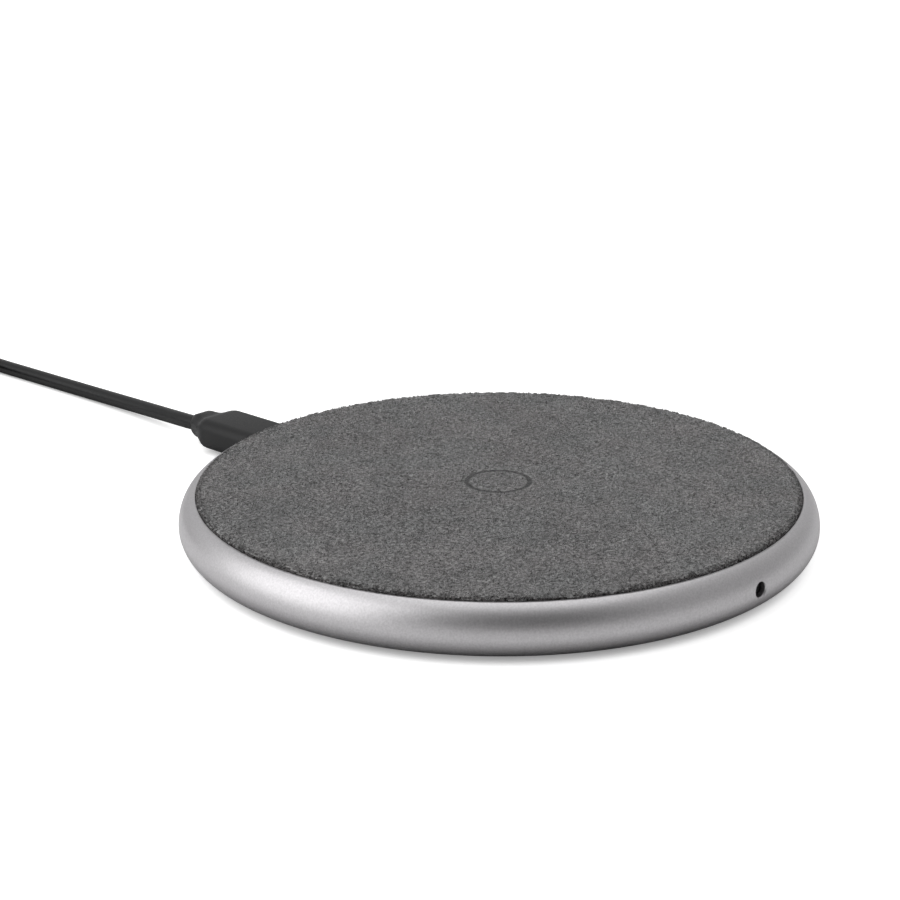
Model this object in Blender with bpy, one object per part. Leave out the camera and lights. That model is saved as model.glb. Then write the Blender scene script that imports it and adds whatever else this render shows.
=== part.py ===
"""Wireless charging pad with a suede top, an aluminium ring and a plug-in USB-C lead.

Units are metres, +Z is up. The origin is at the middle of the pad on the surface it stands on.
The charging port faces +Y, and the status light faces -Y.
"""

import math

import bmesh
import bpy
from mathutils import Matrix, Vector

MM = 0.001

# Clearances
GAP = 0.3 * MM  # between pieces that rest on or face each other
FIT = 0.15 * MM  # between a piece and the hole or recess it sits in
FILM_GAP = 0.15 * MM  # between the layers of the bonded top

# Overall sizes
PAD_DIAMETER = 105.0 * MM
PAD_HEIGHT = 9.9 * MM  # floor to the top of the suede
PAD_RADIUS = PAD_DIAMETER / 2

# Aluminium ring: a barrel profile made of two elliptical arcs that meet at the widest point
RING_CLEAR = 0.34 * MM  # floor to the underside of the ring
RING_WIDEST = 4.56 * MM  # height of the widest point
UPPER_BULGE = 3.9 * MM
LOWER_BULGE = 5.1 * MM
UPPER_ARC = 1.2  # radians from the widest point to the crest
RING_WALL = 3.4 * MM
LEDGE_WIDTH = 2.2 * MM
LEDGE_THICKNESS = 0.8 * MM
LOWER_LIP = 0.8 * MM
LOWER_LEDGE_THICKNESS = 0.65 * MM
CREST_LAND = 0.4 * MM

# Bonded top, from the suede down
COVER_PROUD = 0.64 * MM  # the suede stands this far above the ring's crest
COVER_THICKNESS = 0.85 * MM
COVER_GAP = 0.2 * MM  # crevice round the suede
ADHESIVE_THICKNESS = 0.15 * MM
TOP_PLATE_THICKNESS = 1.5 * MM

# Base
BASE_CLEAR = 0.5 * MM
BASE_FLANGE_THICKNESS = 0.55 * MM
BASE_THICKNESS = 1.25 * MM
BASE_STEP = 0.9 * MM  # flange width outside the thick part
FOOT_THICKNESS = 0.75 * MM
FOOT_WIDTH = 5.3 * MM
FOOT_EDGE = 1.5 * MM  # base rim left outside the foot's groove

# Case screws, under the foot ring
CASE_SCREW_COUNT = 4
POST_RADIUS = 2.6 * MM
POST_EDGE = 0.2 * MM
CUP_HEIGHT = 1.25 * MM  # how far the screw cups rise above the base
HEAD_RADIUS = 1.75 * MM
HEAD_HEIGHT = 0.85 * MM
SHANK_RADIUS = 0.85 * MM
SHANK_LENGTH = 4.4 * MM

# Circuit board and its screws
BOARD_THICKNESS = 0.8 * MM
BOARD_EDGE = 0.4 * MM
TAB_WIDTH = 16.0 * MM
BOARD_SCREW_RADIUS = 35.0 * MM
BOARD_SCREW_ANGLES = (20.0, 160.0, 300.0)
BOARD_SHANK_RADIUS = 0.7 * MM
BOARD_HEAD_RADIUS = 1.4 * MM
BOARD_HEAD_HEIGHT = 0.8 * MM
STANDOFF_RADIUS = 2.0 * MM

# Charging coil stack
COIL_OUTER = 21.5 * MM
COIL_INNER = 10.2 * MM
COIL_TURNS = 8
COIL_THICKNESS = 1.2 * MM
FERRITE_RADIUS = 25.5 * MM
FERRITE_THICKNESS = 0.7 * MM
SPACER_EDGE = 1.0 * MM
LEAD_DIAMETER = 0.55 * MM
PART_CLEAR = 3.5 * MM  # ferrite to the parts round it on the board

# USB-C port and plug, at their standard sizes
PORT_HEIGHT = 3.6 * MM  # floor to the port's axis
PORT_WIDTH = 8.34 * MM
PORT_OPENING = 2.56 * MM
PORT_WALL = 0.3 * MM
PORT_DEPTH = 7.3 * MM
PORT_INSET = 0.3 * MM
TONGUE_WIDTH = 6.69 * MM
TONGUE_THICKNESS = 0.7 * MM
TONGUE_LENGTH = 5.0 * MM
TONGUE_BASE = 1.1 * MM
PLUG_SIDE_PLAY = 0.045 * MM  # each side of the plug in the port
PLUG_PLAY = 0.08 * MM  # above and below the plug in the port
PLUG_WALL = 0.2 * MM
PLUG_LENGTH = 6.65 * MM

# Plug's moulded boot
BOOT_CLEAR = 0.5 * MM
BOOT_WIDTH = 10.6 * MM
BOOT_HEIGHT = 5.7 * MM
BOOT_CORNER = 2.1 * MM
BOOT_LENGTH = 15.0 * MM
BOOT_SHOULDER = 2.5 * MM
POCKET_DEPTH = 9.0 * MM
SHELL_IN_BOOT = 2.5 * MM
RELIEF_RADIUS = 2.9 * MM
RELIEF_LENGTH = 6.6 * MM

# Status light
LIGHT_HEIGHT = 5.13 * MM
LIGHT_RADIUS = 0.95 * MM
LIGHT_INSET = 0.4 * MM

# Lead
CORD_DIAMETER = 2.8 * MM
CORD_POINTS = (
    (0.0, 77.7, 3.05),
    (0.3, 81.0, 2.85),
    (0.9, 86.0, 2.48),
    (1.5, 92.0, 2.1),
    (1.95, 100.0, 1.75),
    (2.13, 109.0, 1.52),
    (2.0, 120.0, 1.42),
    (1.7, 131.0, 1.42),
    (1.4, 141.0, 1.45),
    (1.3, 151.8, 1.7),
)
TAIL_POINTS = (
    (-45.55, 160.9, 4.45),
    (-46.6, 157.4, 4.25),
    (-47.3, 153.9, 4.05),
    (-47.5, 150.3, 3.95),
)
WINDING_CENTRE = (-20.7, 163.0)
WINDING_COLUMNS = 5  # in the lower layer. The upper one has one turn fewer
WINDING_LAYERS = 2
WINDING_MIDDLE = 16.4 * MM
TIE_THICKNESS = 0.5 * MM
TIE_WIDTH = 6.0 * MM
TIE_ANGLE = 70.0

# USB-A plug at the lead's far end
FAR_PLUG = (-47.5, 150.0)
FAR_BOOT_WIDTH = 15.4 * MM
FAR_BOOT_HEIGHT = 7.8 * MM
FAR_BOOT_LENGTH = 20.5 * MM
FAR_RELIEF_LENGTH = 9.0 * MM
FAR_RELIEF_RADIUS = 2.8 * MM
FAR_SHELL_WIDTH = 12.0 * MM
FAR_SHELL_HEIGHT = 4.5 * MM
FAR_SHELL_LENGTH = 12.0 * MM
FAR_SHELL_WALL = 0.3 * MM
FAR_SHELL_CORNER = 0.6 * MM
FAR_WINDOW = 2.4 * MM

FINE = 16  # sides of a post, screw or hole
SMALL = 24  # sides of a small round piece
MEDIUM = 40  # sides of the coil stack and the winding
LARGE = 64  # sides of a large round piece

# Heights that follow from the sizes above
RING_CREST = PAD_HEIGHT - COVER_PROUD
COVER_BOTTOM = PAD_HEIGHT - COVER_THICKNESS
ADHESIVE_TOP = COVER_BOTTOM - FILM_GAP
TOP_PLATE_TOP = ADHESIVE_TOP - ADHESIVE_THICKNESS - FILM_GAP
TOP_PLATE_BOTTOM = TOP_PLATE_TOP - TOP_PLATE_THICKNESS
LEDGE_TOP = TOP_PLATE_BOTTOM - GAP
FLANGE_TOP = BASE_CLEAR + BASE_FLANGE_THICKNESS
BASE_TOP = BASE_CLEAR + BASE_THICKNESS
LOWER_LEDGE = FLANGE_TOP + GAP
CUP_TOP = BASE_TOP + CUP_HEIGHT
BOARD_BOTTOM = BASE_TOP + 2 * GAP
BOARD_TOP = BOARD_BOTTOM + BOARD_THICKNESS
COIL_TOP = TOP_PLATE_BOTTOM - FIT
COIL_BOTTOM = COIL_TOP - COIL_THICKNESS
FERRITE_TOP = COIL_BOTTOM - FIT
FERRITE_BOTTOM = FERRITE_TOP - FERRITE_THICKNESS

# Radii that follow from the sizes above
RECESS_RADIUS = PAD_RADIUS - UPPER_BULGE * (1 - math.cos(UPPER_ARC)) - CREST_LAND
COVER_RADIUS = RECESS_RADIUS - COVER_GAP
CAVITY_RADIUS = PAD_RADIUS - RING_WALL
UPPER_OPENING = RECESS_RADIUS - LEDGE_WIDTH
RING_FOOT = PAD_RADIUS - LOWER_BULGE
BASE_RECESS = RING_FOOT - LOWER_LIP
BASE_RADIUS = BASE_RECESS - GAP
BASE_BODY = BASE_RADIUS - BASE_STEP
LOWER_OPENING = BASE_BODY + GAP
FOOT_OUTER = BASE_RADIUS - FOOT_EDGE
FOOT_INNER = FOOT_OUTER - FOOT_WIDTH
POST_CENTRE = BASE_BODY - POST_RADIUS - POST_EDGE
BOARD_RADIUS = POST_CENTRE - POST_RADIUS - BOARD_EDGE

# Plug sizes that follow from the port
PLUG_WIDTH = PORT_WIDTH - 2 * PLUG_SIDE_PLAY
PLUG_THICKNESS = PORT_OPENING - 2 * PLUG_PLAY

# Places along the port's axis
PORT_FRONT = PAD_RADIUS - PORT_INSET
PORT_BACK = PORT_FRONT - PORT_DEPTH
BOOT_FRONT = PAD_RADIUS + BOOT_CLEAR
PLUG_TIP = BOOT_FRONT - PLUG_LENGTH
BOOT_BACK = BOOT_FRONT + BOOT_LENGTH + BOOT_SHOULDER

CORD_RADIUS = CORD_DIAMETER / 2


def clear_scene():
    for item in list(bpy.data.objects):
        bpy.data.objects.remove(item, do_unlink=True)


def make_material(name, colour, roughness, metallic=0.0):
    material = bpy.data.materials.new(name)
    material.use_nodes = True
    shader = material.node_tree.nodes["Principled BSDF"]
    shader.inputs["Base Color"].default_value = (*colour, 1.0)
    shader.inputs["Roughness"].default_value = roughness
    shader.inputs["Metallic"].default_value = metallic
    return material


def add_object(name, bm, material=None):
    """The bmesh as an object with outward faces, smooth where the surface is round."""
    bmesh.ops.recalc_face_normals(bm, faces=bm.faces)
    mesh = bpy.data.meshes.new(name)
    bm.to_mesh(mesh)
    bm.free()
    mesh.shade_smooth()
    mesh.set_sharp_from_angle(angle=math.radians(35))
    item = bpy.data.objects.new(name, mesh)
    bpy.context.scene.collection.objects.link(item)
    if material:
        mesh.materials.append(material)
    return item


def turned(name, outline, segments, material=None):
    """Spin an outline of (radius, height) points round Z. Ends that touch the axis close as poles."""
    bm = bmesh.new()
    points = [bm.verts.new((radius, 0, height)) for radius, height in outline]
    pairs = list(zip(points, points[1:]))
    if outline[0][0] > 0:
        pairs.append((points[-1], points[0]))
    edges = [bm.edges.new(pair) for pair in pairs]
    bmesh.ops.spin(
        bm, geom=points + edges, axis=(0, 0, 1), cent=(0, 0, 0), angle=2 * math.pi,
        steps=segments, use_merge=True,
    )
    bmesh.ops.remove_doubles(bm, verts=bm.verts, dist=0.001 * MM)
    return add_object(name, bm, material)


def lofted(name, loops, material=None, hollow=False):
    """Skin loops of points in turn. A hollow loft joins its last loop to its first."""
    bm = bmesh.new()
    rings = [[bm.verts.new(point) for point in loop] for loop in loops]
    following = rings[1:] + rings[:1] if hollow else rings[1:]
    for ring, other in zip(rings, following):
        sides = zip(ring, ring[1:] + ring[:1], other[1:] + other[:1], other)
        for side in sides:
            bm.faces.new(side)
    if not hollow:
        bm.faces.new(rings[0])
        bm.faces.new(rings[-1])
    return add_object(name, bm, material)


def block(name, size, centre, material=None, turn=0.0, bevel=0.0):
    """A box of this size about its centre, turned about Z, with its upright edges rounded."""
    bm = bmesh.new()
    place = Matrix.Translation(centre) @ Matrix.Rotation(turn, 4, "Z") @ Matrix.Diagonal((*size, 1))
    bmesh.ops.create_cube(bm, size=1, matrix=place)
    if bevel:
        bmesh.ops.bevel(
            bm, geom=list(bm.edges), offset=bevel, segments=1, profile=0.5, affect="EDGES",
            material=-1,
        )
    return add_object(name, bm, material)


def rod(name, start, end, radius, material=None, segments=FINE):
    """A cylinder between two points."""
    start, end = Vector(start), Vector(end)
    bm = bmesh.new()
    turn = (end - start).to_track_quat("Z", "Y").to_matrix().to_4x4()
    place = Matrix.Translation((start + end) / 2) @ turn
    bmesh.ops.create_cone(
        bm, cap_ends=True, segments=segments, radius1=radius, radius2=radius,
        depth=(end - start).length, matrix=place,
    )
    return add_object(name, bm, material)


def boolean(target, tool, operation="DIFFERENCE"):
    """Cut or join with a hidden tool object."""
    tool.hide_render = True
    tool.display_type = "WIRE"
    modifier = target.modifiers.new(tool.name, "BOOLEAN")
    modifier.operation = operation
    modifier.object = tool


def rounded_section(width, height, corner, y, x=0.0, z=0.0, steps=5):
    """Points of a rounded rectangle across Y."""
    points = []
    for quarter in range(4):
        right = quarter in (0, 3)
        upper = quarter in (0, 1)
        centre_x = (width / 2 - corner) * (1 if right else -1)
        centre_z = (height / 2 - corner) * (1 if upper else -1)
        for step in range(steps + 1):
            angle = math.pi / 2 * (quarter + step / steps)
            points.append(
                (x + centre_x + corner * math.cos(angle), y, z + centre_z + corner * math.sin(angle))
            )
    return points


def port_section(width, height, y):
    """A racetrack section of the USB-C port and plug, whose ends are nearly half round."""
    return rounded_section(width, height, height / 2 - 0.02 * MM, y, z=PORT_HEIGHT, steps=6)


def polar(radius, degrees, height=0.0):
    angle = math.radians(degrees)
    return Vector((radius * math.cos(angle), radius * math.sin(angle), height))


def arc(centre, radii, start, end, steps):
    """Points on an elliptical arc in the (radius, height) plane, angles in radians."""
    found = []
    for step in range(steps + 1):
        angle = start + (end - start) * step / steps
        found.append((centre[0] + radii[0] * math.cos(angle), centre[1] + radii[1] * math.sin(angle)))
    return found


def case_screw_angles():
    return [45.0 + 360.0 / CASE_SCREW_COUNT * index for index in range(CASE_SCREW_COUNT)]


def make_cover(materials):
    edge = 0.35 * MM
    outline = [(0, PAD_HEIGHT)]
    outline += arc((COVER_RADIUS - edge, PAD_HEIGHT - edge), (edge, edge), math.pi / 2, 0, 3)
    outline += [(COVER_RADIUS, COVER_BOTTOM), (0, COVER_BOTTOM)]
    turned("suede_cover", outline, LARGE, materials["suede"])
    bottom = ADHESIVE_TOP - ADHESIVE_THICKNESS
    radius = COVER_RADIUS - GAP
    outline = [(0, ADHESIVE_TOP), (radius, ADHESIVE_TOP), (radius, bottom), (0, bottom)]
    turned("cover_adhesive", outline, LARGE, materials["adhesive"])


def make_top_plate(materials):
    radius = RECESS_RADIUS - GAP
    outline = [
        (0, TOP_PLATE_TOP), (radius, TOP_PLATE_TOP),
        (radius, TOP_PLATE_BOTTOM), (0, TOP_PLATE_BOTTOM),
    ]
    plate = turned("top_plate", outline, LARGE, materials["moulding"])
    overlap = TOP_PLATE_THICKNESS / 2
    for index, angle in enumerate(case_screw_angles()):
        centre = polar(POST_CENTRE, angle)
        foot = centre + Vector((0, 0, CUP_TOP + GAP))
        head = centre + Vector((0, 0, TOP_PLATE_BOTTOM + overlap))
        post = rod(f"post_{index}", foot, head, POST_RADIUS - FIT)
        boolean(plate, post, "UNION")
        mouth = foot - Vector((0, 0, GAP))
        pilot = rod(f"pilot_{index}", mouth, centre + Vector((0, 0, TOP_PLATE_BOTTOM)), SHANK_RADIUS + FIT)
        boolean(plate, pilot)


def make_ring(materials):
    upper_height = (RING_CREST - RING_WIDEST) / math.sin(UPPER_ARC)
    outer = arc(
        (PAD_RADIUS - UPPER_BULGE, RING_WIDEST), (UPPER_BULGE, upper_height), UPPER_ARC, 0, 5,
    )
    outer += arc(
        (RING_FOOT, RING_WIDEST), (LOWER_BULGE, RING_WIDEST - RING_CLEAR), 0, -math.pi / 2, 6,
    )[1:]
    cavity_top = LEDGE_TOP - LEDGE_THICKNESS
    cavity_bottom = LOWER_LEDGE + LOWER_LEDGE_THICKNESS
    inner = [
        (BASE_RECESS, RING_CLEAR),
        (BASE_RECESS, LOWER_LEDGE),
        (LOWER_OPENING, LOWER_LEDGE),
        (LOWER_OPENING, cavity_bottom),
        (CAVITY_RADIUS, cavity_bottom),
        (CAVITY_RADIUS, cavity_top),
        (UPPER_OPENING, cavity_top),
        (UPPER_OPENING, LEDGE_TOP),
        (RECESS_RADIUS, LEDGE_TOP),
        (RECESS_RADIUS, RING_CREST),
    ]
    ring = turned("housing_ring", outer + inner, LARGE, materials["aluminium"])
    width = PORT_WIDTH + 2 * (PORT_WALL + FIT)
    height = PORT_OPENING + 2 * (PORT_WALL + FIT)
    start = LOWER_OPENING - 2 * PORT_WALL
    end = PAD_RADIUS + 2 * PORT_WALL
    boolean(ring, lofted("port_cutter", [port_section(width, height, y) for y in (start, end)]))
    hole = rod(
        "light_cutter", (0, -start, LIGHT_HEIGHT), (0, -end, LIGHT_HEIGHT), LIGHT_RADIUS + FIT,
        segments=SMALL,
    )
    boolean(ring, hole)


def make_base(materials):
    outline = [
        (0, BASE_TOP),
        (BASE_BODY, BASE_TOP),
        (BASE_BODY, FLANGE_TOP),
        (BASE_RADIUS, FLANGE_TOP),
        (BASE_RADIUS, BASE_CLEAR),
        (0, BASE_CLEAR),
    ]
    base = turned("base_plate", outline, LARGE, materials["moulding"])
    sunk = BASE_THICKNESS / 2
    for index, angle in enumerate(BOARD_SCREW_ANGLES):
        centre = polar(BOARD_SCREW_RADIUS, angle)
        low = centre + Vector((0, 0, BASE_TOP - sunk))
        high = centre + Vector((0, 0, BOARD_BOTTOM - GAP))
        boolean(base, rod(f"standoff_{index}", low, high, STANDOFF_RADIUS), "UNION")
        floor = centre + Vector((0, 0, BASE_CLEAR + GAP))
        clear = centre + Vector((0, 0, BOARD_TOP))
        boolean(base, rod(f"standoff_hole_{index}", floor, clear, BOARD_SHANK_RADIUS + FIT))
    for index, angle in enumerate(case_screw_angles()):
        centre = polar(POST_CENTRE, angle)
        low = centre + Vector((0, 0, BASE_TOP - sunk))
        cup = rod(f"cup_{index}", low, centre + Vector((0, 0, CUP_TOP)), POST_RADIUS)
        boolean(base, cup, "UNION")
    groove_top = FOOT_THICKNESS + GAP
    groove = [
        (FOOT_INNER - GAP, groove_top),
        (FOOT_OUTER + GAP, groove_top),
        (FOOT_OUTER + GAP, 0),
        (FOOT_INNER - GAP, 0),
    ]
    boolean(base, turned("foot_groove", groove, LARGE))
    head_top = groove_top + FIT + HEAD_HEIGHT
    for index, angle in enumerate(case_screw_angles()):
        centre = polar(POST_CENTRE, angle)
        seat = centre + Vector((0, 0, head_top + FIT))
        boolean(base, rod(f"counterbore_{index}", centre, seat, HEAD_RADIUS + GAP))
        above = centre + Vector((0, 0, CUP_TOP + GAP))
        boolean(base, rod(f"screw_hole_{index}", centre, above, SHANK_RADIUS + GAP))
    foot = [
        (FOOT_INNER, FOOT_THICKNESS),
        (FOOT_OUTER, FOOT_THICKNESS),
        (FOOT_OUTER, 0),
        (FOOT_INNER, 0),
    ]
    turned("foot_ring", foot, LARGE, materials["silicone"])


def make_screw(name, place, head_bottom, head_height, head_radius, shank_radius, shank_end, materials):
    """A pan head screw with a hexagon socket. The shank points away from the head's flat end."""
    direction = 1 if shank_end > head_bottom else -1
    seat = head_bottom + direction * head_height
    outline = [
        (0, head_bottom),
        (head_radius * 0.8, head_bottom),
        (head_radius, head_bottom + direction * head_height * 0.35),
        (head_radius, seat),
        (shank_radius, seat),
        (shank_radius, shank_end - direction * shank_radius / 2),
        (shank_radius / 2, shank_end),
        (0, shank_end),
    ]
    screw = turned(name, outline, FINE, materials["steel"])
    screw.location = place
    socket = rod(
        f"{name}_socket", (0, 0, head_bottom - direction * head_height),
        (0, 0, head_bottom + direction * head_height * 0.55), head_radius * 0.45, segments=6,
    )
    socket.location = place
    boolean(screw, socket)


def make_screws(materials):
    head = FOOT_THICKNESS + GAP + FIT
    for index, angle in enumerate(case_screw_angles()):
        make_screw(
            f"case_screw_{index + 1}", polar(POST_CENTRE, angle), head, HEAD_HEIGHT, HEAD_RADIUS,
            SHANK_RADIUS, head + HEAD_HEIGHT + SHANK_LENGTH, materials,
        )
    top = BOARD_TOP + FIT + BOARD_HEAD_HEIGHT
    for index, angle in enumerate(BOARD_SCREW_ANGLES):
        make_screw(
            f"board_screw_{index + 1}", polar(BOARD_SCREW_RADIUS, angle), top, BOARD_HEAD_HEIGHT,
            BOARD_HEAD_RADIUS, BOARD_SHANK_RADIUS, BASE_CLEAR + GAP + FIT, materials,
        )


def make_board(materials):
    outline = [
        (0, BOARD_TOP), (BOARD_RADIUS, BOARD_TOP),
        (BOARD_RADIUS, BOARD_BOTTOM), (0, BOARD_BOTTOM),
    ]
    board = turned("circuit_board", outline, MEDIUM, materials["laminate"])
    tab_end = PORT_BACK + PORT_DEPTH * 0.35
    middle = (BOARD_TOP + BOARD_BOTTOM) / 2
    tab_start = BOARD_RADIUS * 0.8
    tab = block(
        "board_tab", (TAB_WIDTH, tab_end - tab_start, BOARD_THICKNESS),
        (0, (tab_start + tab_end) / 2, middle),
    )
    boolean(board, tab, "UNION")
    notch_start = PORT_BACK - GAP
    notch_width = PORT_WIDTH + 2 * (PORT_WALL + GAP)
    notch_length = tab_end - notch_start + GAP
    notch = block(
        "port_notch", (notch_width, notch_length, 3 * BOARD_THICKNESS),
        (0, notch_start + notch_length / 2, middle),
    )
    boolean(board, notch)
    for index, angle in enumerate(BOARD_SCREW_ANGLES):
        low = polar(BOARD_SCREW_RADIUS, angle, BOARD_BOTTOM - GAP)
        high = polar(BOARD_SCREW_RADIUS, angle, BOARD_TOP + GAP)
        boolean(board, rod(f"board_hole_{index}", low, high, BOARD_SHANK_RADIUS + GAP))


def make_parts_on_board(materials):
    """Chips, inductor and capacitors outside the ferrite: name, size, angle of the middle, material."""
    layout = [
        ("controller_chip", (6.0, 6.0, 0.9), 62.0, "chip"),
        ("bridge_chip", (5.0, 6.0, 0.9), 118.0, "chip"),
        ("power_inductor", (5.0, 5.0, 2.8), 195.0, "chip"),
        ("input_capacitor_1", (1.6, 3.2, 1.6), 80.0, "capacitor"),
        ("input_capacitor_2", (1.6, 3.2, 1.6), 100.0, "capacitor"),
    ]
    for index in range(4):
        layout.append(
            (f"resonant_capacitor_{index + 1}", (3.2, 1.6, 1.6), 218.0 + 8.0 * index, "capacitor")
        )
    for name, size, angle, finish in layout:
        size = [side * MM for side in size]
        radius = FERRITE_RADIUS + PART_CLEAR + size[0] / 2
        place = polar(radius, angle, BOARD_TOP + FIT + size[2] / 2)
        block(name, size, place, materials[finish], math.radians(angle), 0.1 * MM)


def make_light(materials):
    size = Vector((3.0, 1.5, 2.6)) * MM
    back = BOARD_RADIUS - GAP
    block(
        "status_led", size, (0, -back + size.y / 2, BOARD_TOP + FIT + size.z / 2),
        materials["lens"], bevel=0.15 * MM,
    )
    start = -(back + FIT)
    end = -(PAD_RADIUS - LIGHT_INSET)
    rod(
        "light_pipe", (0, start, LIGHT_HEIGHT), (0, end, LIGHT_HEIGHT), LIGHT_RADIUS,
        materials["lens"], SMALL,
    )


def make_coil_stack(materials):
    pitch = (COIL_OUTER - COIL_INNER) / COIL_TURNS
    valley = COIL_THICKNESS * 0.12
    outline = [(COIL_INNER, COIL_BOTTOM), (COIL_INNER, COIL_TOP - valley)]
    for turn in range(COIL_TURNS):
        start = COIL_INNER + turn * pitch
        outline += [(start + pitch / 2, COIL_TOP), (start + pitch, COIL_TOP - valley)]
    outline.append((COIL_OUTER, COIL_BOTTOM))
    turned("transmit_coil", outline, MEDIUM, materials["copper"])

    outline = [
        (0, FERRITE_TOP), (FERRITE_RADIUS, FERRITE_TOP),
        (FERRITE_RADIUS, FERRITE_BOTTOM), (0, FERRITE_BOTTOM),
    ]
    ferrite = turned("ferrite_disc", outline, MEDIUM, materials["ferrite"])
    slot_width = LEAD_DIAMETER + 2 * GAP
    slot_start = COIL_INNER * 0.5
    slot_end = FERRITE_RADIUS + GAP
    middle = polar((slot_start + slot_end) / 2, 330.0, (FERRITE_TOP + FERRITE_BOTTOM) / 2)
    slot = block(
        "lead_slot", (slot_end - slot_start, slot_width, 2 * FERRITE_THICKNESS), middle,
        turn=math.radians(330.0),
    )
    boolean(ferrite, slot)

    radius = FERRITE_RADIUS - SPACER_EDGE
    top = FERRITE_BOTTOM - FIT
    bottom = BOARD_TOP + FIT
    outline = [(0, top), (radius, top), (radius, bottom), (0, bottom)]
    turned("coil_spacer", outline, MEDIUM, materials["foam"])

    bead = 1.0 * MM
    outline = arc((0, FERRITE_TOP + FIT + bead / 2), (bead, bead / 2), math.pi / 2, -math.pi / 2, 6)
    outline[0] = (0, outline[0][1])
    outline[-1] = (0, outline[-1][1])
    turned("thermistor", outline, FINE, materials["lens"])

    run = FERRITE_TOP - FERRITE_THICKNESS / 2
    inner = [
        polar(COIL_INNER - 3.0 * MM, 330.0, run + 0.75 * MM),
        polar(COIL_INNER - 1.5 * MM, 330.0, run + 0.1 * MM),
        polar(COIL_INNER, 330.0, run),
        polar(FERRITE_RADIUS - 1.0 * MM, 330.0, run),
        polar(FERRITE_RADIUS + 2.0 * MM, 330.0, run - 0.3 * MM),
        polar(FERRITE_RADIUS + 3.5 * MM, 330.0, BOARD_TOP + FIT + LEAD_DIAMETER / 2),
        polar(FERRITE_RADIUS + 5.0 * MM, 330.0, BOARD_TOP + FIT + LEAD_DIAMETER / 2),
    ]
    outer = [
        polar(COIL_OUTER + GAP, 345.0, COIL_TOP - COIL_THICKNESS / 2),
        polar(FERRITE_RADIUS + 1.0 * MM, 345.0, COIL_TOP - COIL_THICKNESS / 2 - 0.2 * MM),
        polar(FERRITE_RADIUS + 2.5 * MM, 345.0, run),
        polar(FERRITE_RADIUS + 3.5 * MM, 345.0, BOARD_TOP + FIT + LEAD_DIAMETER / 2),
        polar(FERRITE_RADIUS + 5.0 * MM, 345.0, BOARD_TOP + FIT + LEAD_DIAMETER / 2),
    ]
    tube("coil_lead_inner", inner, LEAD_DIAMETER / 2, materials["copper"], 1)
    tube("coil_lead_outer", outer, LEAD_DIAMETER / 2, materials["copper"], 1)


def smooth_route(points, spacing):
    """Points about a spacing apart on a Catmull-Rom curve through the route's points."""
    points = [Vector(point) for point in points]
    padded = [2 * points[0] - points[1]] + points + [2 * points[-1] - points[-2]]
    found = [points[0]]
    for a, b, c, d in zip(padded, padded[1:], padded[2:], padded[3:]):
        steps = max(1, round((c - b).length / spacing))
        for step in range(1, steps + 1):
            t = step / steps
            slope = (c - a) * t
            bend = (2 * a - 5 * b + 4 * c - d) * t**2
            twist = (3 * b - a - 3 * c + d) * t**3
            found.append((2 * b + slope + bend + twist) / 2)
    return found


def tube(name, points, radius, material, resolution=2):
    """A round tube with filled ends along straight steps between the points."""
    curve = bpy.data.curves.new(name, "CURVE")
    curve.dimensions = "3D"
    curve.bevel_depth = radius
    curve.bevel_resolution = resolution
    curve.use_fill_caps = True
    spline = curve.splines.new("POLY")
    spline.points.add(len(points) - 1)
    for target, point in zip(spline.points, points):
        target.co = (*point, 1)
    curve.materials.append(material)
    item = bpy.data.objects.new(name, curve)
    bpy.context.scene.collection.objects.link(item)
    return item


def make_port(materials):
    outer_width = PORT_WIDTH + 2 * PORT_WALL
    outer_height = PORT_OPENING + 2 * PORT_WALL
    shell = [
        port_section(outer_width, outer_height, PORT_FRONT),
        port_section(outer_width, outer_height, PORT_BACK),
        port_section(PORT_WIDTH, PORT_OPENING, PORT_BACK),
        port_section(PORT_WIDTH, PORT_OPENING, PORT_FRONT),
    ]
    lofted("usb_receptacle_shell", shell, materials["steel"], hollow=True)
    base_end = PORT_BACK + TONGUE_BASE
    block_width = PORT_WIDTH - 2 * FIT
    block_height = PORT_OPENING - 2 * FIT
    corners = (block_height * 0.48, TONGUE_THICKNESS * 0.4)
    tongue = [
        rounded_section(width, height, corner, y, z=PORT_HEIGHT, steps=6)
        for width, height, corner, y in (
            (block_width, block_height, corners[0], PORT_BACK),
            (block_width, block_height, corners[0], base_end),
            (TONGUE_WIDTH, TONGUE_THICKNESS, corners[1], base_end),
            (TONGUE_WIDTH, TONGUE_THICKNESS, corners[1], base_end + TONGUE_LENGTH),
        )
    ]
    lofted("usb_receptacle_tongue", tongue, materials["moulding"])


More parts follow.
